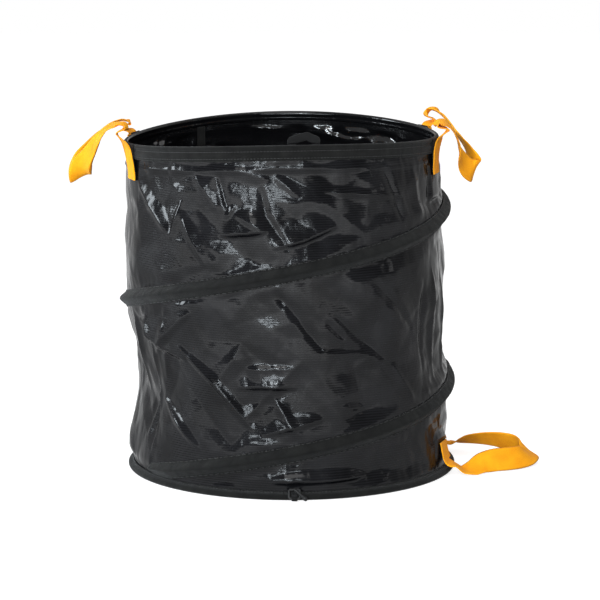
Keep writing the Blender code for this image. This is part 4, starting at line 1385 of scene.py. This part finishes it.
def studio_floor():
    """A pale sweep that glows for the rays that see or mirror it, more so in front of the bag."""
    paint = bpy.data.materials.new("studio_floor")
    paint.use_nodes = True
    tree = paint.node_tree
    tree.nodes.clear()
    spot = add_node(tree, "NewGeometry")["Position"]
    toward = add_node(tree, "VectorMath", {0: spot, 1: FLOOR_TOWARD}, operation="DOT_PRODUCT")["Value"]
    level = {0: seen_or_mirrored(tree), 1: mapped(tree, toward, *FLOOR_GLOW)}
    glow = add_node(tree, "Emission", {"Strength": add_node(tree, "Math", level, operation="MULTIPLY")[0]})[0]
    diffuse = add_node(tree, "BsdfDiffuse", {"Color": (*grey(STUDIO_GREY), 1)})[0]
    add_node(tree, "OutputMaterial", {"Surface": add_node(tree, "AddShader", {0: diffuse, 1: glow})[0]})
    reach = STUDIO_REACH
    corners = [(-reach, -reach, 0), (reach, -reach, 0), (reach, reach, 0), (-reach, reach, 0)]
    floor = mesh_piece("studio_floor", corners, [(0, 1, 2, 3)], [paint])
    floor.location.z = -STUDIO_GAP


def studio_world():
    """A white backdrop for the rays that see or mirror it, dimmer in front, and an even light for others."""
    world = bpy.data.worlds.new("studio")
    bpy.context.scene.world = world
    world.use_nodes = True
    tree = world.node_tree
    tree.nodes.clear()
    way = add_node(tree, "SeparateXYZ", {0: add_node(tree, "TexCoord")["Generated"]})["Y"]
    ambient, backdrop = (
        add_node(tree, "Background", {"Color": (1, 1, 1, 1), "Strength": strength})[0]
        for strength in (AMBIENT, mapped(tree, way, *BACKDROP_GLOW))
    )
    mix = add_node(tree, "MixShader", {0: seen_or_mirrored(tree), 1: ambient, 2: backdrop})[0]
    add_node(tree, "OutputWorld", {"Surface": mix})


def softbox(name, spot, size, radiance, colour=(1, 1, 1)):
    """An area light towards the bag's middle, of a given brightness whatever its size."""
    data = bpy.data.lights.new(name, "AREA")
    data.shape = "RECTANGLE"
    data.size, data.size_y = size
    data.energy = radiance * math.pi * size[0] * size[1]
    data.color = colour
    aimed(data, spot, BAG_MIDDLE)


studio_floor()
studio_world()
BAG_MIDDLE = Vector((0, 0, 0.22))
COOL = (0.86, 0.94, 1.0)
softbox("softbox_wide", (-0.4, -3.4, 4.4), (3.2, 1.8), 4.5)
softbox("softbox_left", (-2.90, 0.05, 0.85), (1.0, 0.8), 27, COOL)
softbox("softbox_front", (-0.75, -2.90, 0.82), (2.4, 0.22), 28, COOL)
softbox("softbox_front_low", (-0.60, -2.95, 0.36), (0.9, 0.12), 46, COOL)
softbox("softbox_front_high", (-0.50, -2.55, 2.00), (0.8, 0.22), 24)
softbox("softbox_strip", (-0.85, -2.80, 1.30), (0.08, 0.5), 150, COOL)
softbox("softbox_right", (2.75, -0.95, 0.90), (0.16, 0.7), 4)
softbox("softbox_top", (0.2, 0.4, 2.6), (1.1, 0.6), 3.6)

bpy.context.scene.view_settings.view_transform = "Standard"
